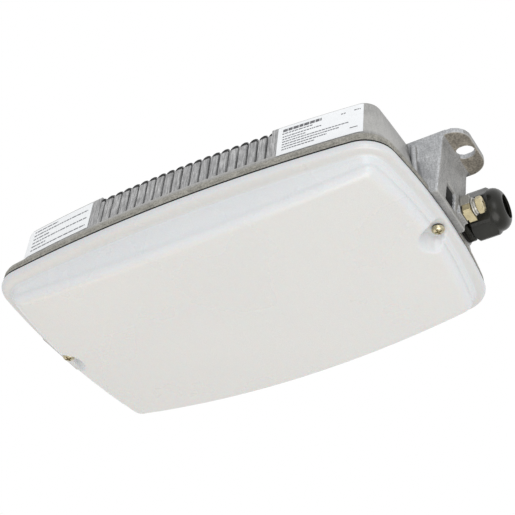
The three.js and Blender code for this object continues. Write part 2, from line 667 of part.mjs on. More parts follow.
function blankingPlug() {
  const { y, z, face } = GLAND;
  const dome = [[face + 1.8, 0], [face + 1.8, 15], [face + 5.6, 15], [face + 6.8, 13.6], [face + 6.8, 0]];
  const head = solid(turned(dome, y, z, 32)).intersect(solid(hexAlongX(27, face + 1, face + 8, y, z)));
  const stem = [[face - 12, 0], [face - 12, 11.6], [face - 11, 12.4], [face + 3, 12.4], [face + 3, 0]];
  const spigot = turned(stem, y, z, 28);
  const recess = turned([[face - 14, 0], [face - 14, 9.6], [face - 1, 9.6], [face - 1, 0]], y, z, 20);
  return cut(join(head, solid(spigot)), solid(recess));
}

// ---------------------------------------------------------------- outside earth clamp
function earthSaddle() {
  const { y, z, face } = EARTH;
  const outer = box(face + 0.3, face + 6.6, y - 6.3, y + 6.3, z - 1.2, z + 6);
  const gap = box(face - 1, face + 5.6, y - 5.3, y + 5.3, z - 8, z + 8);
  return cut(solid(outer), solid(gap), solid(alongX(face, face + 9, y, z, 3.3, 16)));
}

function earthBlock() {
  const { y, z, face } = EARTH;
  const inner = box(face + 0.5, face + 5.3, y - 5, y + 5, z - 3, z + 5.6);
  const foot = box(face + 0.5, face + 6.4, y - 6.2, y + 6.2, z - 6.2, z - 1.5);
  const grooves = [y - 6, y + 3.6].map((low) => box(face - 1, face + 1.4, low, low + 2.4, z - 7, z + 7));
  const hole = alongX(face - 1, face + 8, y, z, 3.3, 16);
  return cut(join(solid(inner), solid(foot)), ...grooves.map(solid), solid(hole));
}

function earthWasher() {
  const { y, z, face } = EARTH;
  const x = face + 6.9;
  const flat = [[x, 3.3], [x, 6], [x + 1.1, 6]];
  const spring = [[x + 1.1, 5], [x + 2.6, 5], [x + 2.6, 3.3], [x, 3.3]];
  return turned([...flat, ...spring], y, z, 20);
}

function earthBolt() {
  const { y, z, face } = EARTH;
  const x = face + 9.8;
  const shank = alongX(face - 8, x + 1, y, z, 2.95, 16);
  const dome = turned([[x, 0], [x, 5.8], [x + 2.9, 5.8], [x + 3.8, 4.7], [x + 4, 0]], y, z, 24);
  const head = solid(dome).intersect(solid(hexAlongX(10, x, x + 5, y, z)));
  const upright = box(x + 2.4, x + 6, y - 0.5, y + 0.5, z - 2.6, z + 2.6);
  const level = box(x + 2.4, x + 6, y - 2.6, y + 2.6, z - 0.5, z + 0.5);
  return cut(join(head, solid(shank)), solid(upright), solid(level));
}

// ---------------------------------------------------------------- labels
// Film on the front wall from x0 to x1. A wrapped one starts round the west corner of the wall.
function labelPatch(x0, x1, z0, z1, wrap = 0) {
  const { gap, skin, columns } = LABEL;
  const section = (at) => [at(z1, gap + skin), at(z0, gap + skin), at(z0, gap), at(z1, gap)];
  const cornerStart = 3 * (wallTop.length / 4) - WALL_STEPS[0];
  const round = Array.from({ length: wrap + 1 }, (_, i) => section((z, off) => {
    const ring = wallRing(z);
    const k = cornerStart - wrap + i;
    const along = ring[k + 1].clone().sub(ring[k - 1]).normalize();
    return ring[k].clone().addScaledVector(new THREE.Vector3(along.y, -along.x, 0), off);
  }));
  const flat = Array.from({ length: columns + 1 }, (_, i) => {
    const x = x0 + ((x1 - x0) * i) / columns;
    return section((z, off) => new THREE.Vector3(x, -wallY(x, z) - off, z));
  });
  return loft(wrap ? [...round, ...flat] : flat);
}

// ---------------------------------------------------------------- assembly
const part = new THREE.Group();
part.name = 'led_bulkhead_luminaire';

const finishes = {
  casting: { color: 0x9b9c98, metalness: 0.7, roughness: 0.5 },
  opal: { color: 0xe4e3dd, metalness: 0, roughness: 0.35 },
  rubber: { color: 0x1c1c1c, metalness: 0, roughness: 0.8 },
  polyamide: { color: 0x2b2b28, metalness: 0, roughness: 0.45 },
  brass: { color: 0xc8b47a, metalness: 0.9, roughness: 0.35 },
  steel: { color: 0xb9b9b4, metalness: 0.9, roughness: 0.35 },
  whitePaint: { color: 0xeeeeea, metalness: 0.1, roughness: 0.5 },
  board: { color: 0xf2f2f0, metalness: 0, roughness: 0.5 },
  led: { color: 0xe8c840, metalness: 0, roughness: 0.4 },
  driver: { color: 0xd8d8d6, metalness: 0, roughness: 0.5 },
  terminal: { color: 0xe6e4da, metalness: 0, roughness: 0.5 },
  wireBrown: { color: 0x5a3a22, metalness: 0, roughness: 0.5 },
  wireBlue: { color: 0x2f5da8, metalness: 0, roughness: 0.5 },
  wireGreen: { color: 0x6fae3a, metalness: 0, roughness: 0.5 },
  wireRed: { color: 0xb03028, metalness: 0, roughness: 0.5 },
  wireBlack: { color: 0x202022, metalness: 0, roughness: 0.5 },
  label: { color: 0xe4e8ec, metalness: 0, roughness: 0.45 },
};

function add(name, shape, finish) {
  const geometry = toGeometry(shape.isBufferGeometry ? solid(shape) : shape);
  const mesh = new THREE.Mesh(geometry, new THREE.MeshStandardMaterial(finishes[finish]));
  mesh.name = name;
  part.add(mesh);
}

const whole = casting();
add('housing', cut(whole, deckRoom(0), eastRoom(0), westRoom(0)), 'casting');
add('fin_deck', whole.intersect(deckRoom(SEAM)), 'casting');
add('end_block_east', whole.intersect(eastRoom(SEAM)), 'casting');
add('end_block_west', whole.intersect(westRoom(SEAM)), 'casting');
add('end_lug_east', eastLug(), 'casting');
add('end_lug_west', endLug(halfTurn), 'casting');
add('cover_gasket', coverGasket(), 'rubber');
add('opal_cover', opalCover(), 'opal');
for (const [tag, x] of [['east', SCREW.x], ['west', -SCREW.x]]) {
  add(`cover_screw_${tag}`, coverScrew(x), 'brass');
  add(`screw_ring_${tag}`, screwRing(x), 'rubber');
}

add('gear_tray', gearTray(), 'whitePaint');
TRAY_SCREWS.forEach(([x, y], i) => add(`tray_screw_${i + 1}`, trayScrew(x, y), 'steel'));
for (const [tag, y] of [['front', -BOARD.y], ['rear', BOARD.y]]) {
  add(`led_board_${tag}`, ledBoard(y), 'board');
  for (let i = 0; i < BOARD.leds; i++) add(`led_${tag}_${i + 1}`, ledPackage(i, y), 'led');
}
add('driver_case', driverCase(), 'driver');
add('driver_lid', driverLid(), 'driver');
add('terminal_block', terminalBlock(), 'terminal');
for (let i = 0; i < 3; i++) add(`terminal_screw_${i + 1}`, terminalScrew(i), 'steel');
add('inner_earth_washer', innerEarthWasher(), 'brass');
add('inner_earth_screw', innerEarthScrew(), 'brass');
const sheath = { live_wire: 'wireBrown', neutral_wire: 'wireBlue', earth_wire: 'wireGreen' };
for (const [name, path] of Object.entries(wirePaths)) add(name, bar(path, 1.2, 18), sheath[name]);
const lead = { led_wire_plus: 'wireRed', led_wire_minus: 'wireBlack', led_link_wire: 'wireRed' };
for (const [name, path] of Object.entries(ledPaths)) add(name, bar(path, 0.8, 16), lead[name]);

add('gland_body', glandBody(), 'polyamide');
add('gland_ring', sealingRing(), 'rubber');
add('gland_seal', glandSeal(), 'rubber');
add('gland_claw', glandClaw(), 'polyamide');
add('gland_cap', glandCap(), 'polyamide');
add('blanking_plug', halfTurn(toGeometry(blankingPlug())), 'polyamide');
add('plug_ring', halfTurn(sealingRing()), 'rubber');

add('earth_saddle', earthSaddle(), 'steel');
add('earth_block', earthBlock(), 'brass');
add('earth_washer', earthWasher(), 'steel');
add('earth_bolt', earthBolt(), 'brass');

add('rating_label', labelPatch(74.6, 131.2, -28.8, -1.8), 'label');
add('instruction_label', labelPatch(-119, -67.6, -26.8, -2.2, LABEL.wrap), 'label');

export default part;
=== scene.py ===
"""LED bulkhead luminaire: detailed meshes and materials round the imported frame.

Shapes are worked out in millimetres in the frame's own axes and scaled as each mesh is made.
"""
import math
import random

import bmesh
import bpy
from mathutils import Matrix, Vector


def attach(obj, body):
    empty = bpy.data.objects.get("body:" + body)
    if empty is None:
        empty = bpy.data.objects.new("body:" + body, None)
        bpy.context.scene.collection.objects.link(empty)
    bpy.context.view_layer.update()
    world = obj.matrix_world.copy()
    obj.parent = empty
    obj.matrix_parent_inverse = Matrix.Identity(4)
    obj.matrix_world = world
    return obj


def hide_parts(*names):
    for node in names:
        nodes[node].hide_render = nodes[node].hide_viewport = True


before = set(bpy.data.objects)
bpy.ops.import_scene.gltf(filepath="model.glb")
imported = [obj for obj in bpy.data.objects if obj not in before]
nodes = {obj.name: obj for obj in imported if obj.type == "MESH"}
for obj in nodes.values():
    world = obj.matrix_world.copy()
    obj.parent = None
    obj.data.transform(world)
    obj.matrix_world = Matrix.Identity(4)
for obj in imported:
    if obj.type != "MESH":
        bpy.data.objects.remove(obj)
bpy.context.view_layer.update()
MM = 0.001
HALF_TURN = Matrix.Rotation(math.pi, 4, "Z")

# ------------------------------------------------------------------ driving sizes
RIM = (150, 96, (8.5, 10.3), 22)
WALL_TOP = (139.5, 87, (3.2, 9), 11)
WALL_LOW = (144.8, 90.8, (6.5, 9.8), 17)
TOP_Z, LOW_Z = -1.3, -33.4
FLANGE_Z = -41.0
LEDGE_Z = -27.0
CAVITY = (136.4, 80, (6, 6), 16)
BOWL = (143.6, 86, (8.7, 7.5), 15)
FACE = (142, 81.8, (9, 5), 7.4)
COVER_TOP, COVER_FLOOR, COVER_EDGE = -41.7, -46.9, -56.8
CROWN, EDGE_R, SKIN = 10.0, 6.0, 2.8
SCREW_X = 142.7
FIN_COUNT, FIN_FIRST, FIN_PITCH, FIN_THICK = 20, -60.5, 6.86, 5.8
FIN_LAST = FIN_FIRST + FIN_PITCH * (FIN_COUNT - 1)
FIN_FOOT, FIN_SHELF = -28.4, -5.4
CORE_SIDE, CORE_LEAD, CORE_ROOT, CORE_FOOT = 84.2, 8, -11, -28
GROUND = {1: 75, -1: -68}  # X where the ground strip beside the end fins stops, by side
BAND_Z = -33.7  # the rough flange finish lies below this
WEST = 0.94  # reach of the west half of the walls against the east half
ROOF_FINS, ROOF_POCKET = -14.2, -4.2
GLAND_Y, GLAND_Z, GLAND_FACE = 34, -17, 147.5
EARTH_Y, EARTH_Z, EARTH_FACE = 9.2, -31.5, 157.4
GLAND_BORE, GLAND_BOSS = 12.6, 16.8
LUG_TIP, LUG_LOW_Y, LUG_HIGH_Y, LUG_R, LUG_THICK = 178, -33, 9.6, 12, 4
SLOT_X, SLOT_Y, SLOT_R, SLOT_RUN = 170, -12, 5.3, 0.8
SCREW_SEAT = -48.4
TRAY_SCREWS = ((-109, -62), (118, -62), (-109, 62), (118, 62))
INNER_EARTH = (101, -56)
FILM, INK = (0.1, 0.46), (0.44, 0.52)  # near and far face of a label and of its print, off the wall


# ------------------------------------------------------------------ camera, light and floor
def make_camera():
    """The photo's point of view, turned about the origin and then moved across, up and away."""
    azimuth, elevation, roll = (math.radians(v) for v in (30.76, -40.5, -1.58))
    across, above, away = 0.0092, -0.01075, 0.9455
    back = Vector((
        math.sin(azimuth) * math.cos(elevation),
        -math.cos(azimuth) * math.cos(elevation),
        math.sin(elevation),
    ))
    side = Vector((math.cos(azimuth), math.sin(azimuth), 0))
    up = back.cross(side)
    right = side * math.cos(roll) - up * math.sin(roll)
    top = side * math.sin(roll) + up * math.cos(roll)
    data = bpy.data.cameras.new("camera")
    data.lens = 95.37
    data.clip_start, data.clip_end = 0.01, 50
    camera = bpy.data.objects.new("camera", data)
    bpy.context.scene.collection.objects.link(camera)
    pose = Matrix((right, top, back)).transposed().to_4x4()
    pose.translation = right * across + top * above + back * away
    camera.matrix_world = pose
    bpy.context.scene.camera = camera


def lamp(name, place, size, power, colour):
    """Square lamp that faces the origin."""
    data = bpy.data.lights.new(name, "AREA")
    data.size = size
    data.energy = power
    data.color = colour
    obj = bpy.data.objects.new(name, data)
    obj.location = place
    obj.rotation_mode = "QUATERNION"
    obj.rotation_quaternion = (-Vector(place)).to_track_quat("-Z", "Y")
    bpy.context.scene.collection.objects.link(obj)


def make_studio():
    world = bpy.data.worlds.new("studio")
    bpy.context.scene.world = world
    world.use_nodes = True
    shade = world.node_tree.nodes["Background"]
    shade.inputs["Color"].default_value = (1, 1, 1, 1)
    shade.inputs["Strength"].default_value = 1.0
    bpy.context.scene.view_settings.view_transform = "Standard"
    lamp("below", (0.4, -0.25, -1.2), 0.9, 6.7, (1, 0.98, 0.95))
    lamp("warm", (-0.8, 0.35, -0.9), 0.6, 1.1, (1, 0.8, 0.62))
    lamp("front", (0.8, -1.05, -0.35), 0.6, 3.2, (0.97, 0.985, 1))
    mesh = bpy.data.meshes.new("floor")
    reach, depth = 12, -1.9
    corners = [(x * reach, y * reach, depth) for x, y in ((-1, -1), (1, -1), (1, 1), (-1, 1))]
    mesh.from_pydata(corners, [], [(0, 1, 2, 3)])
    floor = bpy.data.objects.new("floor", mesh)
    bpy.context.scene.collection.objects.link(floor)
    paint = surface("floor_paint", (0.86, 0.86, 0.86), (0.82, 0.82, 0.82), 0.9, mottle=3, grain=40)
    mesh.materials.append(paint)


# ------------------------------------------------------------------ materials
def surface(name, light, dark, rough, metal=0.0, mottle=60, grain=1500, depth=0.00002, streak=None,
            speckle=0.16, spread=0.08, coat=0.0, scatter=0.0, facing=None, pale_edges=0.0, gloss=0.5):
    """Procedural finish: mottled colour, grain in the bump, and streaks where asked.

    streak is (scale, stretch, strength). facing is painted light: it tints what looks straight down, as the
    object lies.
    """
    mat = bpy.data.materials.new(name)
    mat.use_nodes = True
    tree = mat.node_tree
    shader = tree.nodes["Principled BSDF"]
    where = tree.nodes.new("ShaderNodeTexCoord")

    def link(a, b):
        tree.links.new(a, b)

    def noise(scale, detail, stretch=(1, 1, 1)):
        place = tree.nodes.new("ShaderNodeMapping")
        place.inputs["Scale"].default_value = stretch
        link(where.outputs["Object"], place.inputs["Vector"])
        tex = tree.nodes.new("ShaderNodeTexNoise")
        tex.inputs["Scale"].default_value = scale
        tex.inputs["Detail"].default_value = detail
        link(place.outputs["Vector"], tex.inputs["Vector"])
        return tex.outputs["Fac"]

    def spanned(value, low, high, to_low, to_high):
        node = tree.nodes.new("ShaderNodeMapRange")
        for key, v in zip(("From Min", "From Max", "To Min", "To Max"), (low, high, to_low, to_high)):
            node.inputs[key].default_value = v
        link(value, node.inputs["Value"])
        return node.outputs["Result"]

    def mixed(fac, a, b, mode="MIX"):
        node = tree.nodes.new("ShaderNodeMix")
        node.data_type = "RGBA"
        node.blend_type = mode
        for socket, value in ((node.inputs["Factor"], fac), (node.inputs["A"], a), (node.inputs["B"], b)):
            if hasattr(value, "is_linked"):
                link(value, socket)
            else:
                socket.default_value = value
        return node.outputs["Result"]

    cloud = noise(mottle, 5)
    fine = noise(grain, 3)
    colour = mixed(spanned(cloud, 0.3, 0.7, 0, 1), (*dark, 1), (*light, 1))
    speck = spanned(fine, 0.35, 0.65, 0, 1)
    colour = mixed(speck, mixed(speckle, colour, (0, 0, 0, 1)), colour)
    height = fine
    if streak:
        lines = noise(streak[0], 4, streak[1])
        colour = mixed(spanned(lines, 0.35, 0.65, 0, 1), mixed(streak[2], colour, (0, 0, 0, 1)), colour)
        blend = tree.nodes.new("ShaderNodeMath")
        blend.operation = "ADD"
        link(fine, blend.inputs[0])
        link(lines, blend.inputs[1])
        height = blend.outputs[0]
    # Painted light: a warm tint on faces that look straight down.
    if facing:
        split = tree.nodes.new("ShaderNodeSeparateXYZ")
        link(where.outputs["Normal"], split.inputs["Vector"])
        down = spanned(split.outputs["Z"], -0.75, -0.98, 0, 1)
        colour = mixed(down, colour, mixed(1.0, colour, (*facing, 1), "MULTIPLY"))
    # Lighter towards pale grey on sharp outer edges.
    if pale_edges:
        shape = tree.nodes.new("ShaderNodeNewGeometry")
        edge = spanned(shape.outputs["Pointiness"], 0.51, 0.60, 0, pale_edges)
        colour = mixed(edge, colour, (0.78, 0.77, 0.74, 1))
    link(colour, shader.inputs["Base Color"])
    link(spanned(cloud, 0.3, 0.7, rough - spread, rough + spread), shader.inputs["Roughness"])
    bump = tree.nodes.new("ShaderNodeBump")
    bump.inputs["Strength"].default_value = 1.0
    bump.inputs["Distance"].default_value = depth
    link(height, bump.inputs["Height"])
    link(bump.outputs["Normal"], shader.inputs["Normal"])
    shader.inputs["Metallic"].default_value = metal
    shader.inputs["Specular IOR Level"].default_value = gloss
    if coat:
        shader.inputs["Coat Weight"].default_value = coat
        shader.inputs["Coat Roughness"].default_value = 0.3
    if scatter:
        shader.inputs["Subsurface Weight"].default_value = scatter
        shader.inputs["Subsurface Scale"].default_value = 0.004
    return mat


def make_finishes():
    vertical = (900, (1, 1, 0.05), 0.2)
    ground = (1000, (1, 1, 0.04), 0.55)
    brushed = (1500, (1, 1, 0.06), 0.25)
    cast = {"mottle": 110, "grain": 1200, "depth": 0.00008, "streak": vertical, "speckle": 0.34}
    # facing paints warm light on the face of the cover that looks down.
    opal = {"mottle": 14, "grain": 3500, "depth": 0.000002, "spread": 0.02, "coat": 0.15, "scatter": 0.15,
            "facing": (1.0, 0.975, 0.93)}
    return {
        "casting": surface(
            "cast_aluminium", (0.42, 0.415, 0.405), (0.30, 0.30, 0.295), 0.5, 0.35, **cast, pale_edges=0.5),
        "fin_face": surface(
            "ground_fin_edge", (0.62, 0.62, 0.62), (0.47, 0.47, 0.475), 0.45, 0.3, mottle=110, grain=1400,
            depth=0.00008, streak=ground, speckle=0.3),
        "band": surface(
            "cast_flange", (0.43, 0.415, 0.37), (0.29, 0.28, 0.245), 0.5, 0.3, mottle=170, grain=900,
            depth=0.00012, speckle=0.45, spread=0.16),
        "rough_cast": surface(
            "rough_casting", (0.33, 0.30, 0.25), (0.19, 0.17, 0.14), 0.55, 0.2, mottle=150, grain=900,
            depth=0.00014, speckle=0.5, pale_edges=0.6),
        # Painted light: a lighter, bluer copy of the casting finish for the end faces turned to the front.
        "painted_light_face": surface("cast_painted_light_face", (0.62, 0.63, 0.645), (0.44, 0.45, 0.465), 0.5, 0.3, **cast),
        # Painted shade: a darker copy of the opal for the cover's rim and flange.
        "opal_rim_painted_shade": surface("opal_rim_painted_shade", (0.615, 0.628, 0.643), (0.60, 0.613, 0.628), 0.28, **opal),
        # Painted shade: near-black finish for the fin tops and west sides, the floor between the fins and the
        # inside of the end window.
        "groove": surface(
            "fin_painted_shade", (0.065, 0.065, 0.065), (0.04, 0.04, 0.04), 0.9, grain=1600, depth=0.00006,
            gloss=0.02),
        "opal": surface("opal_cover", (0.66, 0.675, 0.69), (0.645, 0.66, 0.675), 0.28, **opal),
        "rubber": surface(
            "seal_rubber", (0.022, 0.021, 0.02), (0.014, 0.014, 0.014), 0.8, depth=0.00003, gloss=0.1),
        "polyamide": surface(
            "black_polyamide", (0.02, 0.02, 0.016), (0.009, 0.009, 0.007), 0.3, mottle=70, grain=2600,
            coat=0.05, gloss=0.3),
        "brass": surface(
            "plated_brass", (0.80, 0.70, 0.44), (0.62, 0.53, 0.32), 0.30, 0.85, mottle=220, grain=2400),
        "screw": surface(
            "plated_screw", (0.66, 0.60, 0.42), (0.42, 0.37, 0.24), 0.24, 0.9, mottle=420, grain=2400),
        "steel": surface(
            "zinc_steel", (0.72, 0.70, 0.64), (0.55, 0.54, 0.50), 0.30, 0.85, mottle=200, grain=2400,
            streak=brushed),
        "label": surface(
            "label_film", (0.90, 0.915, 0.93), (0.86, 0.88, 0.90), 0.38, mottle=50, grain=3000,
            depth=0.000004, coat=0.2),
        "print": surface("label_print", (0.09, 0.09, 0.10), (0.15, 0.15, 0.16), 0.5, mottle=900, grain=5000),
        "print_light": surface(
            "label_print_light", (0.13, 0.135, 0.15), (0.22, 0.225, 0.24), 0.5, mottle=900, grain=5000),
        "white_paint": surface(
            "tray_paint", (0.84, 0.84, 0.83), (0.79, 0.79, 0.78), 0.42, grain=900, depth=0.00003),
        "board": surface("board_mask", (0.86, 0.86, 0.84), (0.82, 0.82, 0.80), 0.35, grain=2500, coat=0.3),
        "phosphor": surface(
            "led_phosphor", (0.86, 0.66, 0.12), (0.78, 0.56, 0.08), 0.35, mottle=900, coat=0.4),
        "driver": surface(
            "driver_plastic", (0.72, 0.72, 0.71), (0.66, 0.66, 0.65), 0.5, grain=1200, depth=0.00004),
        "terminal": surface("terminal_plastic", (0.78, 0.77, 0.71), (0.72, 0.71, 0.65), 0.45, grain=1500),
        "brown": surface("brown_sheath", (0.13, 0.055, 0.025), (0.10, 0.04, 0.018), 0.42),
        "blue": surface("blue_sheath", (0.035, 0.10, 0.40), (0.025, 0.08, 0.34), 0.42),
        "green": surface("green_sheath", (0.18, 0.42, 0.04), (0.50, 0.48, 0.04), 0.42, mottle=260),
        "red": surface("red_sheath", (0.42, 0.03, 0.025), (0.34, 0.02, 0.02), 0.42),
        "black": surface("black_sheath", (0.02, 0.02, 0.022), (0.014, 0.014, 0.015), 0.42),
    }


# ------------------------------------------------------------------ mesh helpers
def raw(name, verts, faces):
    """Object from points in millimetres, with its faces turned outwards."""
    mesh = bpy.data.meshes.new(name)
    mesh.from_pydata([Vector(v) * MM for v in verts], [], faces)
    obj = bpy.data.objects.new(name, mesh)
    bpy.context.scene.collection.objects.link(obj)
    bm = bmesh.new()
    bm.from_mesh(mesh)
    bmesh.ops.recalc_face_normals(bm, faces=bm.faces)
    bm.to_mesh(mesh)
    bm.free()
    return obj


def bake(obj):
    """Apply every modifier on obj."""
    graph = bpy.context.evaluated_depsgraph_get()
    mesh = bpy.data.meshes.new_from_object(obj.evaluated_get(graph))
    obj.modifiers.clear()
    old, obj.data = obj.data, mesh
    bpy.data.meshes.remove(old)
    return obj


def combine(base, tools, operation="DIFFERENCE"):
    """Boolean of base with each tool in turn; the tools are used up."""
    for tool in tools:
        step = base.modifiers.new("step", "BOOLEAN")
        step.operation = operation
        step.object = tool
        step.solver = "EXACT"
    bake(base)
    for tool in tools:
        bpy.data.objects.remove(tool)
    return base


def soften(obj, width, segments=3, angle=35):
    step = obj.modifiers.new("soft_edges", "BEVEL")
    step.width = width * MM
    step.segments = segments
    step.limit_method = "ANGLE"
    step.angle_limit = math.radians(angle)
    step.harden_normals = False
    return obj


def melt(obj, voxel, passes=4):
    """Run the solids of obj together into one cast skin."""
    step = obj.modifiers.new("melt", "REMESH")
    step.mode = "VOXEL"
    step.voxel_size = voxel * MM
    smooth = obj.modifiers.new("smooth", "SMOOTH")
    smooth.factor = 0.5
    smooth.iterations = passes
    return bake(obj)


def weld(objects, name):
    """One object from several, each keeping its own materials."""
    bm = bmesh.new()
    mats = []
    for obj in objects:
        part = obj.data
        start = len(bm.faces)
        bm.from_mesh(part)
        bm.faces.ensure_lookup_table()
        index = []
        for m in part.materials:
            if m not in mats:
                mats.append(m)
            index.append(mats.index(m))
        for face in bm.faces[start:]:
            face.material_index = index[face.material_index] if index else 0
    mesh = bpy.data.meshes.new(name)
    bm.to_mesh(mesh)
    bm.free()
    for m in mats:
        mesh.materials.append(m)
    for obj in objects:
        bpy.data.objects.remove(obj)
    whole = bpy.data.objects.new(name, mesh)
    bpy.context.scene.collection.objects.link(whole)
    return whole


def painted(obj, *mats):
    obj.data.materials.clear()
    for m in mats:
        obj.data.materials.append(m)
    return obj


def settle(obj, body, slot, *stands_for, angle=40):
    """Smooth shading, then the piece's body and the CAD nodes it stands for; slot is not used."""
    obj.data.shade_smooth()
    obj.data.set_sharp_from_angle(angle=math.radians(angle))
    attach(obj, body)
    if stands_for:
        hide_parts(*stands_for)
    return obj


def loft(name, rings, caps=True, closed=False):
    """Skin over rings of equal length; with closed set, the last ring joins the first."""
    n = len(rings[0])
    verts = [p for ring in rings for p in ring]
    faces = []
    for r in range(len(rings) if closed else len(rings) - 1):
        a, b = r * n, ((r + 1) % len(rings)) * n
        faces += [(a + i, a + (i + 1) % n, b + (i + 1) % n, b + i) for i in range(n)]
    if caps and not closed:
        faces.append(tuple(range(n))[::-1])
        faces.append(tuple(range((len(rings) - 1) * n, len(rings) * n)))
    return raw(name, verts, faces)


def box(name, x0, x1, y0, y1, z0, z1):
    ring = [(x0, y0), (x1, y0), (x1, y1), (x0, y1)]
    return loft(name, [[(x, y, z0) for x, y in ring], [(x, y, z1) for x, y in ring]])


def lathe(name, profile, centre, axis="X", sides=64):
    """Turned solid: profile lists (distance along the axis, radius). It is a tube if its ends meet."""
    rings = []
    for along, radius in profile:
        radius = max(radius, 0.02)
        ring = []
        for i in range(sides):
            t = 2 * math.pi * i / sides
            u, v = radius * math.cos(t), radius * math.sin(t)
            if axis == "X":
                ring.append((along, centre[0] + u, centre[1] + v))
            else:
                ring.append((centre[0] + u, centre[1] + v, along))
        rings.append(ring)
    hollow = profile[0] == profile[-1]
    return loft(name, rings[:-1] if hollow else rings, closed=hollow)


def hexagon(name, flats, x0, x1, y, z):
    """Hexagonal prism along X."""
    radius = flats / math.sqrt(3)
    turns = [math.pi / 3 * i + math.pi / 6 for i in range(6)]
    ring = [(y + radius * math.sin(t), z + radius * math.cos(t)) for t in turns]
    return loft(name, [[(x, u, v) for u, v in ring] for x in (x0, x1)])


# Steps along the end of a ring: close together past the screw scallop, then wider out to the corner.
END_Y = 72.0
END_STEPS = [0.8 * i / END_Y for i in range(21)]
END_STEPS += [(16 + 56 * (j / 9) ** 1.15) / END_Y for j in range(1, 10)]
CORNER_STEPS, LONG_STEPS = 10, 26


def quarter(hx, hy, bow, rc):
    """First quarter of a bowed rectangle, from the middle of the end to the middle of the long side."""
    long_r = (hx * hx + bow[1] ** 2) / (2 * bow[1])
    short_r = (hy * hy + bow[0] ** 2) / (2 * bow[0])
    c1, c2 = Vector((0, hy - long_r)), Vector((hx - short_r, 0))
    span = c2 - c1
    along = ((long_r - rc) ** 2 - (short_r - rc) ** 2 + span.length_squared) / (2 * span.length)
    off = math.sqrt((long_r - rc) ** 2 - along * along)
    unit = span.normalized()
    k = c1 + unit * along + Vector((-unit.y, unit.x)) * off
    if k.x < 0 or k.y < 0:
        k = c1 + unit * along + Vector((unit.y, -unit.x)) * off
    t1 = math.atan2(k.y - c1.y, k.x - c1.x)
    t2 = math.atan2(k.y - c2.y, k.x - c2.x)

    def at(centre, radius, t):
        return (centre.x + radius * math.cos(t), centre.y + radius * math.sin(t))

    points = [at(c2, short_r, t2 * f) for f in END_STEPS]
    points += [at(k, rc, t2 + (t1 - t2) * i / CORNER_STEPS) for i in range(1, CORNER_STEPS + 1)]
    points += [at(c1, long_r, t1 + (math.pi / 2 - t1) * i / LONG_STEPS) for i in range(1, LONG_STEPS + 1)]
    return points


def outline(size, z=0.0, grow=0.0, scale=1.0):
    """Whole bowed rectangle; z is a height or a function of x and y."""
    hx, hy, bow, rc = size
    bows = (bow[0] * scale, bow[1] * scale)
    flat = quarter((hx + grow) * scale, (hy + grow) * scale, bows, max(rc + grow, 1.2) * scale)
    ring = flat + [(-x, y) for x, y in flat[-2::-1]]
    ring += [(-x, -y) for x, y in flat[1:]] + [(x, -y) for x, y in flat[-2:0:-1]]
    return [(x, y, z(x, y) if callable(z) else z) for x, y in ring]


def between(a, b, t):
    """Ring that lies the part t of the way from a to b."""
    return [tuple(p + (q - p) * t for p, q in zip(u, v)) for u, v in zip(a, b)]


def flowed(rings, steps):
    """Smooth run of rings through key rings."""
    out = []
    for i in range(len(rings) - 1):
        around = rings[max(i - 1, 0)], rings[i], rings[i + 1], rings[min(i + 2, len(rings) - 1)]
        for s in range(steps):
            t = s / steps
            weights = (
                -0.5 * t + t * t - 0.5 * t ** 3,
                1 - 2.5 * t * t + 1.5 * t ** 3,
                0.5 * t + 2 * t * t - 1.5 * t ** 3,
                -0.5 * t * t + 0.5 * t ** 3,
            )
            out.append([
                tuple(sum(w * p[axis] for w, p in zip(weights, points)) for axis in range(3))
                for points in zip(*around)
            ])
    out.append(rings[-1])
    return out


# ------------------------------------------------------------------ cast housing
def short_west(ring):
    """The walls and the cavity stand further in from the flange at the west end."""
    return [(x * WEST if x < 0 else x, y, z) for x, y, z in ring]


wall_top = short_west(outline(WALL_TOP, TOP_Z))
wall_low = short_west(outline(WALL_LOW, LOW_Z))


def wall_at(z):
    """Outer ring of the drafted wall at height z."""
    return between(wall_top, wall_low, (TOP_Z - z) / (TOP_Z - LOW_Z))


def wall_y(x, z):
    """Half-width of the outer side wall at x and z."""
    side = sorted((p[0], -p[1]) for p in wall_at(z) if p[1] < 0)
    for (xa, ya), (xb, yb) in zip(side, side[1:]):
        if xa <= x <= xb:
            return ya + (yb - ya) * (x - xa) / max(xb - xa, 1e-6)
    return side[0][1]


def roof_z(x, y):
    """Height of the cavity roof: pockets at the ends and a lower roof under the fins."""
    east = min(max((x - 71) / 3, 0), 1)
    west = min(max((-67 - x) / 3, 0), 1)
    return ROOF_FINS + (ROOF_POCKET - ROOF_FINS) * max(east, west)


def cavity_tool():
    """Space inside the walls, up to the roof, with the roof and the floor closed strip by strip."""
    rings = [
        outline(CAVITY, -45),
        outline(CAVITY, lambda x, y: roof_z(x, y) - 3),
        outline(CAVITY, lambda x, y: roof_z(x, y) - 1, grow=-0.8),
        outline(CAVITY, roof_z, grow=-3),
    ]
    rings = [short_west(ring) for ring in rings]
    tool = loft("cavity", rings, caps=False)
    mesh = tool.data
    n = len(rings[0])
    bm = bmesh.new()
    bm.from_mesh(mesh)
    bm.verts.ensure_lookup_table()
    for start in (0, (len(rings) - 1) * n):
        for i in range(n // 2):
            quad = [start + i, start + i + 1, start + (n - i - 1) % n, start + (n - i) % n]
            unique = list(dict.fromkeys(quad))
            if len(unique) > 2:
                bm.faces.new([bm.verts[k] for k in unique])
    bmesh.ops.recalc_face_normals(bm, faces=bm.faces)
    bm.to_mesh(mesh)
    bm.free()
    return tool


def slice_at(bm, x, facing, clear=False):
    """Cut bm across at x; with clear set, what lies beyond the cut in the facing direction goes."""
    return bmesh.ops.bisect_plane(
        bm, geom=bm.verts[:] + bm.edges[:] + bm.faces[:], plane_co=(x * MM, 0, 0), plane_no=(facing, 0, 0),
        clear_outer=clear)


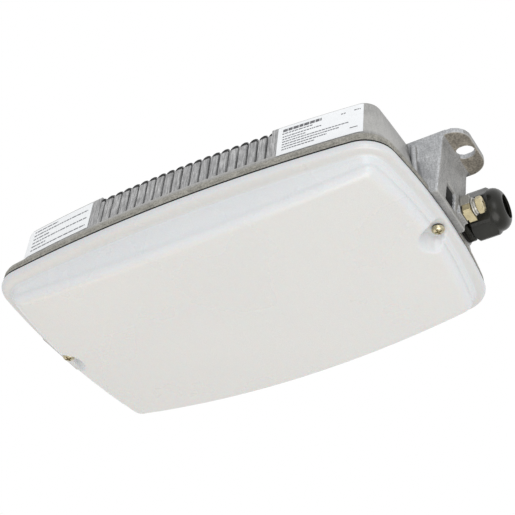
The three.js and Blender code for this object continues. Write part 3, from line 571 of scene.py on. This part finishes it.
def end_block(side):
    """Plain block of the wall past the fins, with a rounded top edge."""
    rounding = ((-0.12, -0.85), (-0.45, -0.4), (-0.9, -0.12), (-1.5, 0))
    rings = [wall_at(LEDGE_Z - 0.1), wall_at(TOP_Z - 0.4), wall_at(TOP_Z)]
    rings += [short_west(outline(WALL_TOP, z, grow=grow)) for grow, z in rounding]
    block = loft("block", rings)
    bm = bmesh.new()
    bm.from_mesh(block.data)
    cut = slice_at(bm, FIN_LAST if side > 0 else FIN_FIRST, -side, clear=True)
    rim = [e for e in cut["geom_cut"] if isinstance(e, bmesh.types.BMEdge)]
    bmesh.ops.holes_fill(bm, edges=rim, sides=0)
    bmesh.ops.recalc_face_normals(bm, faces=bm.faces)
    slice_at(bm, GROUND[side], side)
    bm.to_mesh(block.data)
    bm.free()
    combine(painted(block, finish["casting"], finish["fin_face"]), [cavity_tool(), bore_tool(side)])
    for face in block.data.polygons:
        face.material_index = 1 if face.center.x * side < GROUND[side] * side * MM else 0
    return block


def bore_tool(side):
    """Cable entry through the end wall."""
    tool = lathe("bore", [(120, GLAND_BORE), (160, GLAND_BORE)], (GLAND_Y, GLAND_Z))
    if side < 0:
        tool.data.transform(HALF_TURN)
    return tool


def fin_core():
    """Floor under the fins, with sloping shoulders."""
    east = [(CORE_SIDE, CORE_FOOT), (CORE_SIDE, CORE_ROOT - CORE_LEAD), (CORE_SIDE - CORE_LEAD, CORE_ROOT)]
    ring = [(-CORE_SIDE, CORE_FOOT), *east, *((-y, z) for y, z in east[:0:-1])]
    rings = [[(x, y, z) for y, z in ring] for x in (FIN_FIRST - 2, FIN_LAST + 2)]
    return combine(loft("core", rings), [cavity_tool()])


def fin(x):
    """One cooling fin: flat outer edge with a straight end, and a round top set back from it."""
    back = 0.03 if x in (FIN_FIRST, FIN_LAST) else 0.25
    low, high = wall_y(x, LEDGE_Z) - back, wall_y(x, -4) - back
    half, side_r, top_drop, set_back, shoulder = FIN_THICK / 2, 0.6, 3.0, 0.6, 3.0
    inner = [(82.5, FIN_FOOT), (82.5, -19.6), (75.4, -12.4)]
    rings = []
    for i in range(17):
        u = -half + FIN_THICK * i / 16
        drop = top_drop * (1 - math.sqrt(max(1 - (u / half) ** 2, 0)))
        past = max(abs(u) - (half - side_r), 0)
        pull = side_r - math.sqrt(max(side_r ** 2 - past * past, 0))
        lo, hi, top = low - pull, high - pull, -drop
        outer = [(lo, FIN_FOOT), (hi, FIN_SHELF - 0.2), (hi - set_back, FIN_SHELF)]
        for j in range(1, 9):
            t = math.pi / 2 * j / 8
            y = hi - set_back - shoulder * (1 - math.cos(t))
            outer.append((y, FIN_SHELF + (top - FIN_SHELF) * math.sin(t)))
        ring = outer + [(-y, z) for y, z in reversed(outer)]
        ring += [(-y, z) for y, z in inner] + inner[::-1]
        rings.append([(x + u, y, z) for y, z in ring])
    piece = painted(loft("fin", rings), finish["fin_face"], finish["groove"])
    # Painted shade: the round top above the shelf and the west side of each fin take the near-black finish,
    # for the shade they would be in.
    for face in piece.data.polygons:
        above_shelf = face.center.z > (FIN_SHELF - 0.2) * MM
        cap = above_shelf and face.normal.z < 0.78 and abs(face.normal.y) > 0.3
        shaded_west_side = face.normal.x < -0.8
        face.material_index = 1 if cap or shaded_west_side else 0
    return piece


def belt():
    """Lower wall, flange, gasket groove and the inside wall up to the cooling floor."""
    inner = [short_west(outline(CAVITY, z)) for z in (FLANGE_Z + 0.6, LEDGE_Z - 0.2)]
    flare = (
        (-30.2, 0.0), (-31.2, 0.05), (-32.0, 0.16), (-32.7, 0.34), (-33.3, 0.58), (-33.9, 0.8), (-34.7, 0.94),
    )
    rings = [short_west(outline(WALL_LOW, LEDGE_Z, grow=-7.2)), wall_at(LEDGE_Z)]
    rings += [between(wall_at(z), outline(RIM, z, grow=-0.7), part) for z, part in flare]
    rings += [
        outline(RIM, -36, grow=-0.65), outline(RIM, -37.6, grow=-0.6), outline(RIM, -38.0, grow=-0.95),
        outline(RIM, -39.9, grow=-0.8), outline(RIM, -40.4, grow=-0.85), outline(RIM, -40.55, grow=-1.1),
        outline(RIM, -40.55, grow=-2.0), outline(RIM, -39.2, grow=-2.1), outline(RIM, -39.2, grow=-4.3),
        outline(RIM, -40.9, grow=-4.4), short_west(outline(CAVITY, FLANGE_Z, grow=0.6)), *inner,
    ]
    ring = loft("belt", rings, closed=True)
    tools = [lathe("screw_hole", [(-45, 2.6), (-24, 2.6)], (x, 0), "Z", 24) for x in (SCREW_X, -SCREW_X)]
    return combine(ring, [*tools, bore_tool(1), bore_tool(-1)])


def posts():
    """Screw posts under the roof for the gear tray and the inner earth."""
    plan = [(x, y, -31.0, 4.6, 1.8) for x, y in TRAY_SCREWS] + [(*INNER_EARTH, -27, 5.4, 2.1)]
    made = []
    for x, y, low, radius, bore in plan:
        profile = [
            (-8, bore), (low + 0.4, bore), (low, bore + 0.4), (low, radius - 0.3), (low + 0.3, radius),
            (-6, radius + 0.8), (-4.4, radius + 2.4), (-3, radius + 2.4), (-3, bore), (-8, bore),
        ]
        made.append(painted(lathe("post", profile, (x, y), "Z", 40), finish["casting"]))
    return made


def plate(name, points, z0, z1, hole):
    """Flat plate with one hole through it."""
    body = loft(name, [[(x, y, z0) for x, y in points], [(x, y, z1) for x, y in points]])
    tool = loft("hole", [[(x, y, z0 - 2) for x, y in hole], [(x, y, z1 + 2) for x, y in hole]])
    return combine(body, [tool])


def arc(cx, cy, r, a0, a1, n):
    """Points round a centre from a0 to a1 degrees."""
    turns = [math.radians(a0 + (a1 - a0) * i / n) for i in range(n + 1)]
    return [(cx + r * math.cos(t), cy + r * math.sin(t)) for t in turns]


def rounded(x0, x1, y0, y1, r, z, n=6):
    """Ring of a rounded rectangle at height z."""
    ring = arc(x1 - r, y1 - r, r, 0, 90, n) + arc(x0 + r, y1 - r, r, 90, 180, n)
    ring += arc(x0 + r, y0 + r, r, 180, 270, n) + arc(x1 - r, y0 + r, r, 270, 360, n)
    return [(x, y, z) for x, y in ring]


def end_casting(east):
    """Fixing lug, hollow nose and gland boss of one end, run together as one casting."""
    root = 137.2 if east else 130
    tip = LUG_TIP - LUG_R
    edge = [
        (root, LUG_HIGH_Y), (root, LUG_LOW_Y),
        *arc(tip, LUG_LOW_Y + LUG_R, LUG_R, -90, 0, 16), *arc(tip, LUG_HIGH_Y - LUG_R, LUG_R, 0, 90, 16),
    ]
    slot = arc(SLOT_X + SLOT_RUN, SLOT_Y, SLOT_R, -90, 90, 18)
    slot += arc(SLOT_X - SLOT_RUN, SLOT_Y, SLOT_R, 90, 270, 18)
    lug = plate("lug", edge, -LUG_THICK, 0, slot)
    nose = loft("nose", [
        rounded(root, 154.2, -25.5, 18.5, 2.0, FLANGE_Z),
        rounded(root, 162.6, -32.0, 7.6, 2.0, -8.5),
        rounded(root, 163.4, -32.6, 6.6, 2.0, -6.0),
        rounded(root, 164.6, -33.0, 7.2, 2.0, -4.2),
        rounded(root, 164.6, -33.0, 7.2, 2.0, -2),
    ])
    window = [rounded(141.5, 166, -13.6, 0.4, 0.8, -38.9), rounded(141.5, 166, -16.0, -3.4, 0.8, -27.6)]
    tools = [loft("window", window)]
    boss_profile = [(root, GLAND_BOSS), (GLAND_FACE - 0.9, GLAND_BOSS), (GLAND_FACE, GLAND_BOSS - 0.9)]
    boss = lathe("boss", boss_profile, (GLAND_Y, GLAND_Z))
    rib = lathe("rib", [(-34, 2.0), (-5, 2.0)], (root + 6.3, -33.4), "Z", 24)
    parts = [lug, nose, boss, rib]
    if east:
        parts.append(box("seat", 148, EARTH_FACE, EARTH_Y - 6.2, EARTH_Y + 6.2, EARTH_Z - 6.6, EARTH_Z + 6.6))
        tools.append(box("spot", EARTH_FACE, 170, EARTH_Y - 7, EARTH_Y + 7, EARTH_Z - 6.8, EARTH_Z + 7))
        tools.append(lathe("tap", [(148, 3.1), (165, 3.1)], (EARTH_Y, EARTH_Z)))
    tools.append(lathe("entry", [(130, 12.5), (150, 12.5)], (GLAND_Y, GLAND_Z)))
    whole = combine(parts[0], parts[1:], "UNION")
    combine(whole, tools)
    melt(whole, 0.55, 3)
    if not east:
        whole.data.transform(HALF_TURN)
    return whole


END_FINISHES = ("casting", "rough_cast", "groove", "painted_light_face")


def end_finish(face, turn):
    """Finish of a face of the end casting; turn is 1 at the east end and -1 at the west."""
    x, y, z = face.center.x / MM * turn, face.center.y / MM * turn, face.center.z / MM
    # Painted shade: the inside of the end window takes the near-black finish.
    if -16.2 < y < 0.5 and -38.9 < z < -27.5 and x < 162.9 + 0.26 * z:
        return "groove"
    if face.normal.z < -0.6 and x > 164.5 and z > -6:
        return "rough_cast"
    # Painted light: faces of the end casting turned to the front take the lighter copy of the casting finish.
    if face.normal.y * turn < -0.6 and x > 140:
        return "painted_light_face"
    return "casting"


def housing():
    """The whole casting, welded from its blocks, fins, belt, posts and end castings."""
    pieces = [end_block(side) for side in (1, -1)]
    # Painted shade: the floor between the fins takes the near-black finish.
    pieces.append(painted(fin_core(), finish["groove"]))
    pieces += [fin(FIN_FIRST + FIN_PITCH * i) for i in range(FIN_COUNT)]
    lower = painted(belt(), finish["casting"], finish["band"])
    for face in lower.data.polygons:
        face.material_index = 1 if face.center.z < BAND_Z * MM else 0
    pieces += [lower, *posts()]
    for turn in (1, -1):
        end = painted(end_casting(turn > 0), *(finish[key] for key in END_FINISHES))
        for face in end.data.polygons:
            face.material_index = END_FINISHES.index(end_finish(face, turn))
        pieces.append(end)
    whole = weld(pieces, "housing_casting")
    stands_for = ("housing", "fin_deck", "end_block_east", "end_block_west", "end_lug_east", "end_lug_west")
    return settle(whole, "housing_body", "casting", *stands_for, angle=38)


def gasket():
    keys = ((-40.6, -0.5), (-40.75, -0.25), (-41.9, -0.25), (-42.05, -0.5), (-42.05, -4.2), (-39.4, -4.2),
            (-39.4, -2.3), (-40.6, -2.3))
    ring = loft("flat_gasket", [outline(RIM, z, grow=g) for z, g in keys], closed=True)
    return settle(painted(ring, finish["rubber"]), "housing_body", "seal_rubber", "cover_gasket")


# ------------------------------------------------------------------ opal cover
def crown(x):
    """How far the face bulges at x."""
    return CROWN * (1 - min(1, (x / FACE[0]) ** 2))


def soft_max(a, b, k):
    """The larger of a and b, blended where they differ by less than k."""
    h = max(k - abs(a - b), 0) / k
    return max(a, b) + h * h * k / 4


def scalloped(ring, grow=0.0):
    """Raise a ring out of the two conical scallops round the cover screws."""
    out = []
    for x, y, z in ring:
        r = math.hypot(abs(x) - SCREW_X, y)
        cone = COVER_FLOOR + grow - max(0, r - 7.4 - grow * 0.8) * 2.1
        out.append((x, y, soft_max(z, cone, 1.8)))
    return out


def bowl(inset):
    """Rings of the bowl from the middle of the face out to the end of its wall."""
    low = COVER_EDGE + inset
    radius = EDGE_R - inset
    hx, hy, bow, rc = FACE
    size = (hx - inset, hy - inset, bow, max(rc - inset, radius + 1))

    def face_z(x, y):
        return low - crown(x)

    rings = [outline(size, face_z, grow=-22, scale=s) for s in (0.02, 0.15, 0.3, 0.45, 0.6, 0.75, 0.88)]
    rings += [outline(size, face_z, grow=-d) for d in (22, 19, 17, 15, 13.5, 12, 10.5, 9, 8, 7)]
    for i in range(11):
        t = math.radians(90 - 9 * i)
        rise = radius * (1 - math.sin(t))
        inward = radius * (1 - math.cos(t))
        rings.append(outline(size, lambda x, y, rise=rise: low + rise - crown(x), grow=-inward))
    return rings


def opal_cover():
    outer = bowl(0)
    root = outline(BOWL, COVER_FLOOR - 2.9)
    wall = [between(outer[-1], root, t) for t in (0.2, 0.4, 0.6, 0.8)]
    keys = [
        wall[-1], root,
        outline(BOWL, COVER_FLOOR - 1.3, grow=0.8), outline(BOWL, COVER_FLOOR - 0.4, grow=2.2),
        outline(RIM, COVER_FLOOR - 0.05, grow=-3.4), outline(RIM, COVER_FLOOR + 0.7, grow=-1.1),
        outline(RIM, COVER_FLOOR + 2.6, grow=-0.05), outline(RIM, COVER_TOP - 0.7),
        outline(RIM, COVER_TOP - 0.4, grow=-0.3),
    ]
    outside = [scalloped(ring) for ring in [*outer, *wall[:-1], *flowed(keys, 3)]]
    inside = bowl(SKIN)
    levels = (COVER_TOP - 0.4, COVER_TOP - 2, COVER_FLOOR - 1, COVER_FLOOR - 3)
    throat = [outline(BOWL, z, grow=-SKIN) for z in levels]
    drop = [between(throat[-1], inside[-1], t) for t in (0.35, 0.7)]
    inside = [scalloped(ring, 2.4) for ring in [*throat[1:], *drop, *reversed(inside)]]
    cover = loft("cover_shell", [*outside, throat[0], *inside])
    holes = [lathe("hole", [(-52, 2.8), (-38, 2.8)], (x, 0), "Z", 32) for x in (SCREW_X, -SCREW_X)]
    combine(cover, holes)
    # Painted shade: the rim and flange above the bowl take the darker copy of the opal.
    painted(cover, finish["opal"], finish["opal_rim_painted_shade"])
    for face in cover.data.polygons:
        face.material_index = 1 if face.center.z > (COVER_FLOOR - 0.9) * MM else 0
    return settle(cover, "cover", "opal", "opal_cover", angle=50)


# ------------------------------------------------------------------ fasteners and fittings
def crossed(x, y, z0, z1, reach, half):
    """Cross slot in a head that faces along Z."""
    return [box("slot", x - reach, x + reach, y - half, y + half, z0, z1),
            box("slot", x - half, x + half, y - reach, y + reach, z0, z1)]


def crossed_x(y, z, x0, x1, reach, half):
    """Cross slot in a head that faces along X."""
    return [box("slot", x0, x1, y - half, y + half, z - reach, z + reach),
            box("slot", x0, x1, y - reach, y + reach, z - half, z + half)]


def cover_screws():
    seat = SCREW_SEAT
    profile = [
        (seat - 2.8, 0), (seat - 2.78, 1.2), (seat - 2.5, 2.5), (seat - 1.9, 3.5), (seat - 1.1, 4.15),
        (seat - 0.5, 4.3), (seat - 0.1, 4.25), (seat, 4.1), (seat, 2.4), (-27, 2.4), (-26.2, 1.7), (-26.2, 0),
    ]
    for tag, x in (("east", SCREW_X), ("west", -SCREW_X)):
        screw = lathe("screw", profile, (x, 0), "Z", 40)
        combine(screw, crossed(x, 0, seat - 4, seat - 1.0, 2.4, 0.6))
        screw.name = f"pan_screw_{tag}"
        painted(screw, finish["screw"])
        settle(soften(screw, 0.12, 2), f"screw_{tag}", "plated_brass", f"cover_screw_{tag}")


def gland_body():
    """Threaded stem of the gland with its hexagon."""
    y, z, face = GLAND_Y, GLAND_Z, GLAND_FACE
    core = [(face - 14, 8.6), (face - 14, 11.6), (face - 13, 12.3), (face + 5, 12.3), (face + 5.6, 11)]
    for i in range(6):
        x = face + 6.2 + 1.4 * i
        core += [(x, 10.5), (x + 0.7, 11)]
    core += [(face + 15.2, 10.4), (face + 15.2, 8.6), (face - 14, 8.6)]
    stem = lathe("gland_stem", core, (y, z))
    base = hexagon("base", 27, face + 1.8, face + 5.6, y, z)
    chamfer = [(face + 1.7, 14.2), (face + 2.6, 15.2), (face + 5.2, 15.2), (face + 5.7, 14.4)]
    combine(base, [lathe("round", chamfer, (y, z))], "INTERSECT")
    combine(base, [lathe("bore", [(face, 12.2), (face + 8, 12.2)], (y, z))])
    body = weld([painted(stem, finish["polyamide"]), painted(base, finish["polyamide"])], "gland_stem_hex")
    settle(soften(body, 0.25, 2), "housing_body", "black_polyamide", "gland_body")


def gland_cap():
    """Domed cap nut with flats and an open mouth."""
    y, z, x = GLAND_Y, GLAND_Z, GLAND_FACE + 6.6
    dome = [
        (x, 14.4), (x + 0.5, 15.4), (x + 1.4, 16.4), (x + 14.6, 16.4), (x + 15.6, 15.6), (x + 16.2, 14.7),
        (x + 17.6, 14.6), (x + 19.2, 14.3), (x + 20.8, 13.6), (x + 22.2, 12.5), (x + 23.4, 11.0),
        (x + 24.2, 9.4), (x + 24.4, 8.6),
    ]
    cap = lathe("cap", [(x, 0), *dome, (x + 24.4, 0)], (y, z), sides=96)
    shape = hexagon("shape", 29.6, x - 1, x + 16.2, y, z)
    nosecone = lathe("nosecone", [(x + 8, 14.7), (x + 26, 14.7)], (y, z), sides=96)
    combine(shape, [nosecone], "UNION")
    combine(cap, [shape], "INTERSECT")
    hollow = [(x - 1, 11.4), (x + 17.6, 11.6), (x + 21.6, 9.8), (x + 22.8, 8.2), (x + 26, 8.2)]
    combine(cap, [lathe("hollow", hollow, (y, z), sides=96)])
    cap.name = "gland_dome_nut"
    painted(cap, finish["polyamide"])
    settle(soften(cap, 0.35, 3, 25), "cap", "black_polyamide", "gland_cap", angle=30)


def gland_seals():
    """Washer under each hexagon, and the grommet that would grip a cable."""
    y, z, face = GLAND_Y, GLAND_Z, GLAND_FACE
    ring = [
        (face + 0.3, 12.7), (face + 0.3, 14.8), (face + 0.6, 15.1), (face + 1.2, 15.1), (face + 1.5, 14.8),
        (face + 1.5, 12.7), (face + 0.3, 12.7),
    ]
    washers = (
        ("gland_washer", "housing_body", "gland_ring", False),
        ("plug_washer", "plug_seal", "plug_ring", True),
    )
    for name, body_name, node, turn in washers:
        seal = lathe(name, ring, (y, z))
        if turn:
            seal.data.transform(HALF_TURN)
        settle(painted(seal, finish["rubber"]), body_name, "seal_rubber", node)

    x = face + 3
    grommet = [(x, 5.2), (x, 8.2), (x + 15, 8.2), (x + 16.4, 7.9), (x + 17, 7.2), (x + 17, 5.6)]
    grommet += [(x + 16.4, 5)]
    for i in range(5):
        grommet += [(x + 13.5 - 2.6 * i, 5), (x + 12.6 - 2.6 * i, 5.5)]
    grommet += [(x, 5.2)]
    grip = painted(lathe("cable_grommet", grommet, (y, z)), finish["rubber"])
    settle(grip, "housing_body", "seal_rubber", "gland_seal")


def blanking_plug():
    """Hexagonal plug of the west entry, made at the east end and turned round."""
    y, z, face = GLAND_Y, GLAND_Z, GLAND_FACE
    crown_profile = [
        (face + 1.8, 0), (face + 1.8, 14.2), (face + 2.4, 15), (face + 5.4, 15), (face + 6.8, 13.6),
        (face + 6.8, 0),
    ]
    head = lathe("head", crown_profile, (y, z))
    combine(head, [hexagon("flats", 27, face, face + 9, y, z)], "INTERSECT")
    combine(head, crossed_x(y, z, face + 5.2, face + 9, 7, 1.3))
    tube = [
        (face - 12, 9.6), (face - 12, 11.6), (face - 11, 12.3), (face + 2.2, 12.3), (face + 2.2, 9.6),
        (face - 12, 9.6),
    ]
    spigot = lathe("spigot", tube, (y, z))
    plug = weld([painted(head, finish["polyamide"]), painted(spigot, finish["polyamide"])], "blank_hex_plug")
    plug.data.transform(HALF_TURN)
    settle(soften(plug, 0.3, 2), "plug", "black_polyamide", "blanking_plug")


def earth_clamp():
    """Saddle over a pressure block, two washers and the bolt through them."""
    y, z, face = EARTH_Y, EARTH_Z, EARTH_FACE
    saddle = box("saddle", face + 0.3, face + 6.6, y - 6.3, y + 6.3, z - 1.2, z + 6)
    gap = box("gap", face - 1, face + 5.5, y - 5.2, y + 5.2, z - 8, z + 8)
    combine(saddle, [gap, lathe("way", [(face, 3.3), (face + 9, 3.3)], (y, z))])
    saddle.name = "clamp_saddle"
    settle(soften(painted(saddle, finish["steel"]), 0.35, 3), "clamp", "bright_steel", "earth_saddle")

    block = box("block", face + 0.5, face + 5.2, y - 4.9, y + 4.9, z - 3, z + 5.6)
    combine(block, [box("foot", face + 0.5, face + 6.4, y - 6.2, y + 6.2, z - 6.2, z - 1.5)], "UNION")
    grooves = []
    for side in (-1, 1):
        middle = y + side * 4.9
        grooves.append(box("groove", face - 1, face + 1.4, middle - 1.3, middle + 1.3, z - 8, z + 8))
    combine(block, [*grooves, lathe("way", [(face - 1, 3.3), (face + 8, 3.3)], (y, z))])
    block.name = "clamp_block"
    settle(soften(painted(block, finish["brass"]), 0.3, 3), "clamp", "plated_brass", "earth_block")

    x = face + 6.9
    flat = [(x, 3.3), (x, 5.8), (x + 0.15, 6), (x + 0.95, 6), (x + 1.1, 5.8), (x + 1.1, 3.3), (x, 3.3)]
    spring = [(x + 1.25, 3.3), (x + 1.25, 5.1), (x + 2.55, 5.1), (x + 2.55, 3.3), (x + 1.25, 3.3)]
    pair = [painted(lathe(name, profile, (y, z)), finish["steel"]) for name, profile in
            (("flat", flat), ("spring", spring))]
    settle(weld(pair, "clamp_washers"), "clamp", "bright_steel", "earth_washer")

    x = face + 9.8
    dome = [(x, 0), (x, 5.4), (x + 0.3, 5.85), (x + 2.6, 5.85), (x + 3.5, 5.1), (x + 3.9, 3.6), (x + 4, 0)]
    bolt = lathe("dome", dome, (y, z))
    combine(bolt, [hexagon("flats", 10, x - 1, x + 5, y, z)], "INTERSECT")
    shank = lathe("shank", [(face - 8, 2.5), (face - 7.4, 2.95), (x + 1, 2.95)], (y, z), sides=32)
    combine(bolt, [shank], "UNION")
    combine(bolt, crossed_x(y, z, x + 2.2, x + 6, 2.7, 0.55))
    bolt.name = "clamp_hex_bolt"
    settle(soften(painted(bolt, finish["brass"]), 0.15, 2), "clamp_bolt", "plated_brass", "earth_bolt")


# ------------------------------------------------------------------ labels
def sheet_patch(name, x0, x1, z0, z1, near, far, columns, rows=6, wrap=0):
    """Thin film on the front wall, from near to far off it; wrap columns go round the west corner."""
    corner = 3 * len(wall_top) // 4 - LONG_STEPS

    def at(i, j, off):
        z = z0 + (z1 - z0) * j / rows
        if i >= wrap:
            x = x0 + (x1 - x0) * (i - wrap) / (columns - wrap)
            return (x, -wall_y(x, z) - off, z)
        ring = wall_at(z)
        k = corner - wrap + i
        (xa, ya, _), (xb, yb, _) = ring[k - 1], ring[k + 1]
        span = math.hypot(xb - xa, yb - ya)
        return (ring[k][0] + (yb - ya) / span * off, ring[k][1] - (xb - xa) / span * off, z)

    verts, faces = [], []
    for off in (far, near):
        verts += [at(i, j, off) for i in range(columns + 1) for j in range(rows + 1)]
    n = (columns + 1) * (rows + 1)

    def index(i, j, side):
        return side * n + i * (rows + 1) + j

    for i in range(columns):
        for j in range(rows):
            for side in (0, 1):
                cell = (i, j), (i + 1, j), (i + 1, j + 1), (i, j + 1)
                faces.append(tuple(index(*corner_at, side) for corner_at in cell))
        for j in (0, rows):
            faces.append((index(i, j, 0), index(i + 1, j, 0), index(i + 1, j, 1), index(i, j, 1)))
    for j in range(rows):
        for i in (0, columns):
            faces.append((index(i, j, 0), index(i, j + 1, 0), index(i, j + 1, 1), index(i, j, 1)))
    return raw(name, verts, faces)


def word_row(rng, x0, x1, z, height, low, high, gap):
    """Made-up words as plain bars from x0 to x1."""
    bars = []
    x = x0
    while x < x1:
        end = min(x + rng.uniform(low, high), x1)
        bars.append(sheet_patch("bar", x, end, z - height, z, *INK, max(1, int((end - x) / 3)), 1))
        x = end + gap
    return bars


def labels():
    """Two label films with made-up print: dark bars first, then the paler rows."""
    rng = random.Random(7)
    films = (
        ("rating_film", "rating_label", 74.6, 131.2, -28.8, -1.8, 0),
        ("instruction_film", "instruction_label", -119, -67.6, -26.8, -2.2, 8),
    )
    for name, node, x0, x1, z0, z1, wrap in films:
        film = sheet_patch(name, x0, x1, z0, z1, *FILM, 40, wrap=wrap)
        settle(painted(film, finish["label"]), "housing_body", "label_film", node)
    dark = word_row(rng, 78, 104, -4.4, 2.6, 2.6, 4.2, 0.5)
    dark += word_row(rng, 77.6, 98, -8.3, 0.9, 1.4, 3, 0.5)
    dark += word_row(rng, 123, 128, -22.6, 0.8, 5, 5, 1)
    dark += word_row(rng, 117, 120, -6.4, 0.9, 0.8, 1.6, 0.5)
    dark += word_row(rng, 125.5, 129.5, -6.0, 0.9, 0.8, 1.6, 0.5)
    pale = []
    for i, end in enumerate((104, 94, 122, 116, 108, 100)):
        pale += word_row(rng, 78, end, -11.4 - 2.5 * i, 0.95, 0.8, 2.4, 0.4)
    for i, end in enumerate((-98, -70.5, -104, -70.5, -106, -70.5)):
        pale += word_row(rng, -118.6, end, -4.3 - 3.6 * i, 1.15, 1.2, 4.5, 0.6)
    for name, bars, ink in (("dark_print", dark, "print"), ("pale_print", pale, "print_light")):
        whole = weld([painted(bar, finish[ink]) for bar in bars], name)
        settle(whole, "housing_body", "label_film")


# ------------------------------------------------------------------ pieces kept from the frame
def dress_inside():
    """Finishes for the CAD solids that stay in the picture as they are, with softened edges on some."""
    plan = {
        "gear_tray": "white_paint", "driver_case": "driver", "driver_lid": "driver",
        "terminal_block": "terminal", "gland_claw": "polyamide", "inner_earth_washer": "brass",
        "inner_earth_screw": "brass", "live_wire": "brown", "neutral_wire": "blue", "earth_wire": "green",
        "led_wire_plus": "red", "led_wire_minus": "black", "led_link_wire": "red",
        "led_board_front": "board", "led_board_rear": "board", "screw_ring_east": "rubber",
        "screw_ring_west": "rubber",
    }
    for i in range(1, 5):
        plan[f"tray_screw_{i}"] = "steel"
    for i in range(1, 4):
        plan[f"terminal_screw_{i}"] = "steel"
    for row in ("front", "rear"):
        for i in range(1, 7):
            plan[f"led_{row}_{i}"] = "phosphor"
    edged = {
        "gear_tray": 0.3, "driver_case": 0.5, "driver_lid": 0.5, "terminal_block": 0.4,
        "led_board_front": 0.2, "led_board_rear": 0.2,
    }
    for name, key in plan.items():
        obj = nodes[name]
        painted(obj, finish[key])
        obj.data.shade_smooth()
        obj.data.set_sharp_from_angle(angle=math.radians(35))
        if name in edged:
            soften(obj, edged[name], 2)


# ------------------------------------------------------------------ build
finish = make_finishes()
make_camera()
make_studio()
housing()
gasket()
opal_cover()
cover_screws()
gland_body()
gland_cap()
gland_seals()
blanking_plug()
earth_clamp()
labels()
dress_inside()
